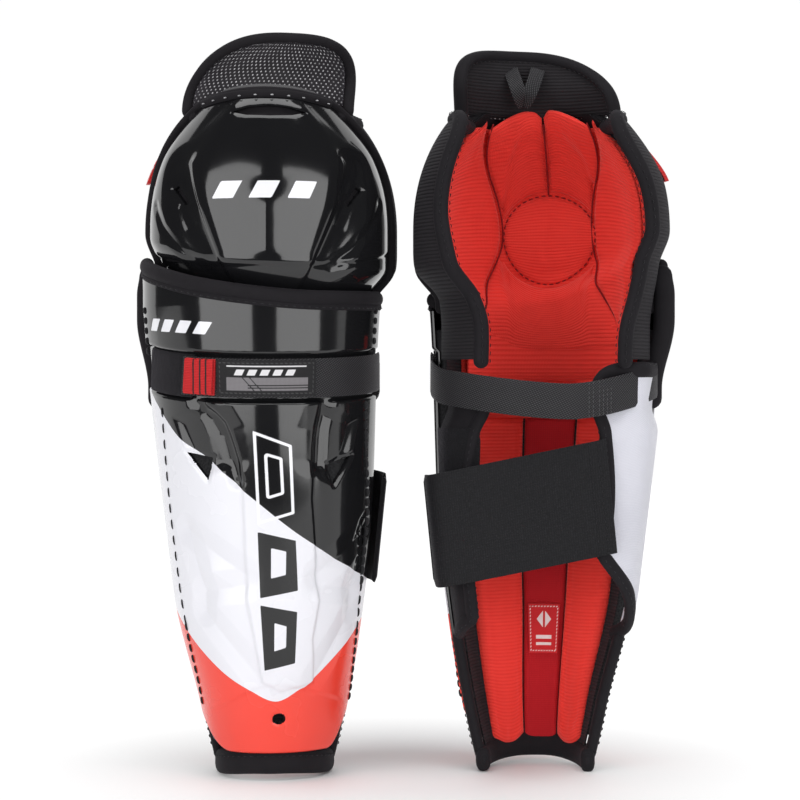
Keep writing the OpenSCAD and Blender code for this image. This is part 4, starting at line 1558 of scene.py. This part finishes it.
# ---- thigh flap -----------------------------------------------------------

FLAP_LOW, FLAP_HALF, FLAP_LEAN, FLAP_AXIS, FLAP_R = 377, 48, 14, 18, 58


def flap_point(x, z, off):
    """A point of the flap at x across, z high and that far behind its front face."""
    r = FLAP_R - off
    y = FLAP_AXIS - np.sqrt(np.clip(r * r - x * x, 1, None)) - 9 * (1 - ramp(z, 377, 402))
    return np.stack(np.broadcast_arrays(x, y, z), -1)


def flap_outline(inset):
    """The flap as seen from the front, drawn in by that much."""
    a = np.linspace(0, np.pi, 120)
    c, s = np.cos(a), np.sin(a)
    w, h = FLAP_HALF - inset, FLAP_TOP - FLAP_LOW - 2 * inset
    x = w * np.sign(c) * np.abs(c) ** 0.62 + FLAP_LEAN * s**1.6
    return x, FLAP_LOW + inset + h * s**0.8


def flap_normals(path):
    return unit((path - [0, FLAP_AXIS, 0]) * [1, 1, 0])


def flap():
    inset = 4.6

    def across(u, v):
        k = np.sin(np.pi / 2 * np.clip(v, 0, 0.985))
        half = (FLAP_HALF - inset) * np.clip(1 - k**2.5, 0, 1) ** 0.31
        x = FLAP_LEAN * k * k + (2 * u - 1) * half
        return x, FLAP_LOW + inset + (FLAP_TOP - FLAP_LOW - 2 * inset) * k

    def face(u, v, off, low=0):
        x, z = across(u, v)
        return flap_point(x, np.maximum(z, low), 4.5 - off)

    def rear(u, v, off):
        return face(u, v, off, 383)

    def cloth(u, v):
        return (2 * u - 1) * 48, across(u, v)[1]

    parts = [soft("flap_front", pad(face, 46, 22, 0, 3.4, 0.35, 4, cloth), "dots", 3, 0.8),
             soft("flap_back", pad(rear, 46, 22, 0, -3.6, 0.4, 3, cloth), "black_rib", 4, 1.4)]
    place("thigh_flap_look", joined("flap", parts), "flap")

    x, z = flap_outline(2.9)
    path = evenly(flap_point(x, z, 4.5), 1.6)
    edge = sweep(path, flap_normals(path), oval(3.5, 4.4, 18), round_ends=True)
    x, z = flap_outline(6.6)
    for off, sign in ((0.4, 1), (8.6, -1)):
        line = evenly(flap_point(x, z, off), 1.6)
        stitches(line, flap_normals(line) * sign, 1.8, 3.4, 0.5, edge, mat=1, lift=0.2)
    place("thigh_flap_binding_look", sewn("flap_edge", edge, ["tricot", "thread"]), "flap")


def pull_loop():
    """A loop of black ribbon sewn on behind the flap: two legs that meet low down."""
    shape = Shape()
    back = FLAP_AXIS - FLAP_R + 9.4
    k = np.linspace(0, 1, 30)
    for dx in (-8.5, 7.5):
        path = np.stack([8 + dx * k**0.7, back + 6.5 * np.sin(np.pi * k**0.8) + 2.5 * (1 - k),
                         lerp(391, 411, k)], -1)
        sweep(path, np.repeat([[0, 1, 0]], len(k), 0), tape(8.5, 1.1, 8), into=shape)
    place("pull_loop_look", sewn("loop", shape, ["webbing"]), "flap")


for make in (shin_shell, shin_foam, shell_stitches, knee_cup, knee_edge, side_cushions, top_cushions,
             kneecap, liner_bridge, shin_lining, shin_ribs, shin_channel, upper_cushion, liner_label,
             ankle_binding, top_roll, web_straps, badge, pull_tab, calf_wings, elastic_strap,
             knee_wings, flap, pull_loop):
    make()


# ---- stage, lights and camera ---------------------------------------------

def glow(name, near, far):
    """White that is lit near the guards, and shines by itself farther out."""
    n = Net(name)
    x, y, _ = n.xyz(n.spot())
    r = n.math("SQRT", n.plus(n.times(x, x), n.times(y, y)))
    k = n.over(near, far, r)
    n.set(Base_Color=n.mix(k, (0.94, 0.94, 0.945), (0, 0, 0)), Roughness=0.6,
          Emission_Color=(1, 1, 1, 1), Emission_Strength=k, Specular_IOR_Level=0.2)
    return n.m


def board(name, corners, material):
    """A flat sheet of the stage."""
    me = bpy.data.meshes.new(name)
    me.from_pydata(corners, [], [(0, 1, 2, 3)])
    me.materials.append(material)
    o = bpy.data.objects.new(name, me)
    bpy.context.scene.collection.objects.link(o)
    return o


board("floor", [(-6, -0.7, 0), (6, -0.7, 0), (6, 5, 0), (-6, 5, 0)],
               glow("white_floor", 0.07, 0.25))
board("backdrop", [(-8, 4.5, -0.5), (8, 4.5, -0.5), (8, 4.5, 6), (-8, 4.5, 6)],
               glow("white_backdrop", 0.1, 0.2))


LIT_POINT = Vector((0, 0, 0.21))            # the middle of the guards


def softbox(name, azimuth, elevation, distance, width, height, power):
    """A light aimed at the guards. Azimuth 0 is in front of them, positive to the right."""
    a, e = math.radians(azimuth), math.radians(elevation)
    data = bpy.data.lights.new(name, "AREA")
    data.shape = "RECTANGLE"
    data.size, data.size_y = width, height
    data.energy = power
    o = bpy.data.objects.new(name, data)
    away = Vector((math.sin(a) * math.cos(e), -math.cos(a) * math.cos(e), math.sin(e)))
    o.location = LIT_POINT + away * distance
    o.rotation_euler = (-away).to_track_quat("-Z", "Y").to_euler()
    o.visible_camera = False
    bpy.context.scene.collection.objects.link(o)


softbox("left_box", -33, 6, 2.2, 2.1, 1.26, 24)
softbox("right_box", 37, 6, 2.2, 1.8, 1.26, 21)
softbox("overhead", 0, 74, 2.4, 3.0, 1.8, 48)

world = bpy.data.worlds.new("studio")
world.use_nodes = True
sky = world.node_tree.nodes["Background"]
sky.inputs["Color"].default_value = (1, 1, 1, 1)
seen = world.node_tree.nodes.new("ShaderNodeMapRange")
seen.inputs["To Min"].default_value, seen.inputs["To Max"].default_value = 0.05, 1.0
world.node_tree.links.new(world.node_tree.nodes.new("ShaderNodeLightPath").outputs["Is Camera Ray"],
                          seen.inputs["Value"])
world.node_tree.links.new(seen.outputs["Result"], sky.inputs["Strength"])
bpy.context.scene.world = world

camera = bpy.data.cameras.new("camera")
camera.lens = 100
camera.sensor_width = 36
camera.shift_x = -0.00625
view = bpy.data.objects.new("camera", camera)
view.location = (0, -1.29, 0.215)
view.rotation_euler = (math.radians(90), 0, 0)
bpy.context.scene.collection.objects.link(view)
bpy.context.scene.camera = view
bpy.context.scene.view_settings.view_transform = "Standard"
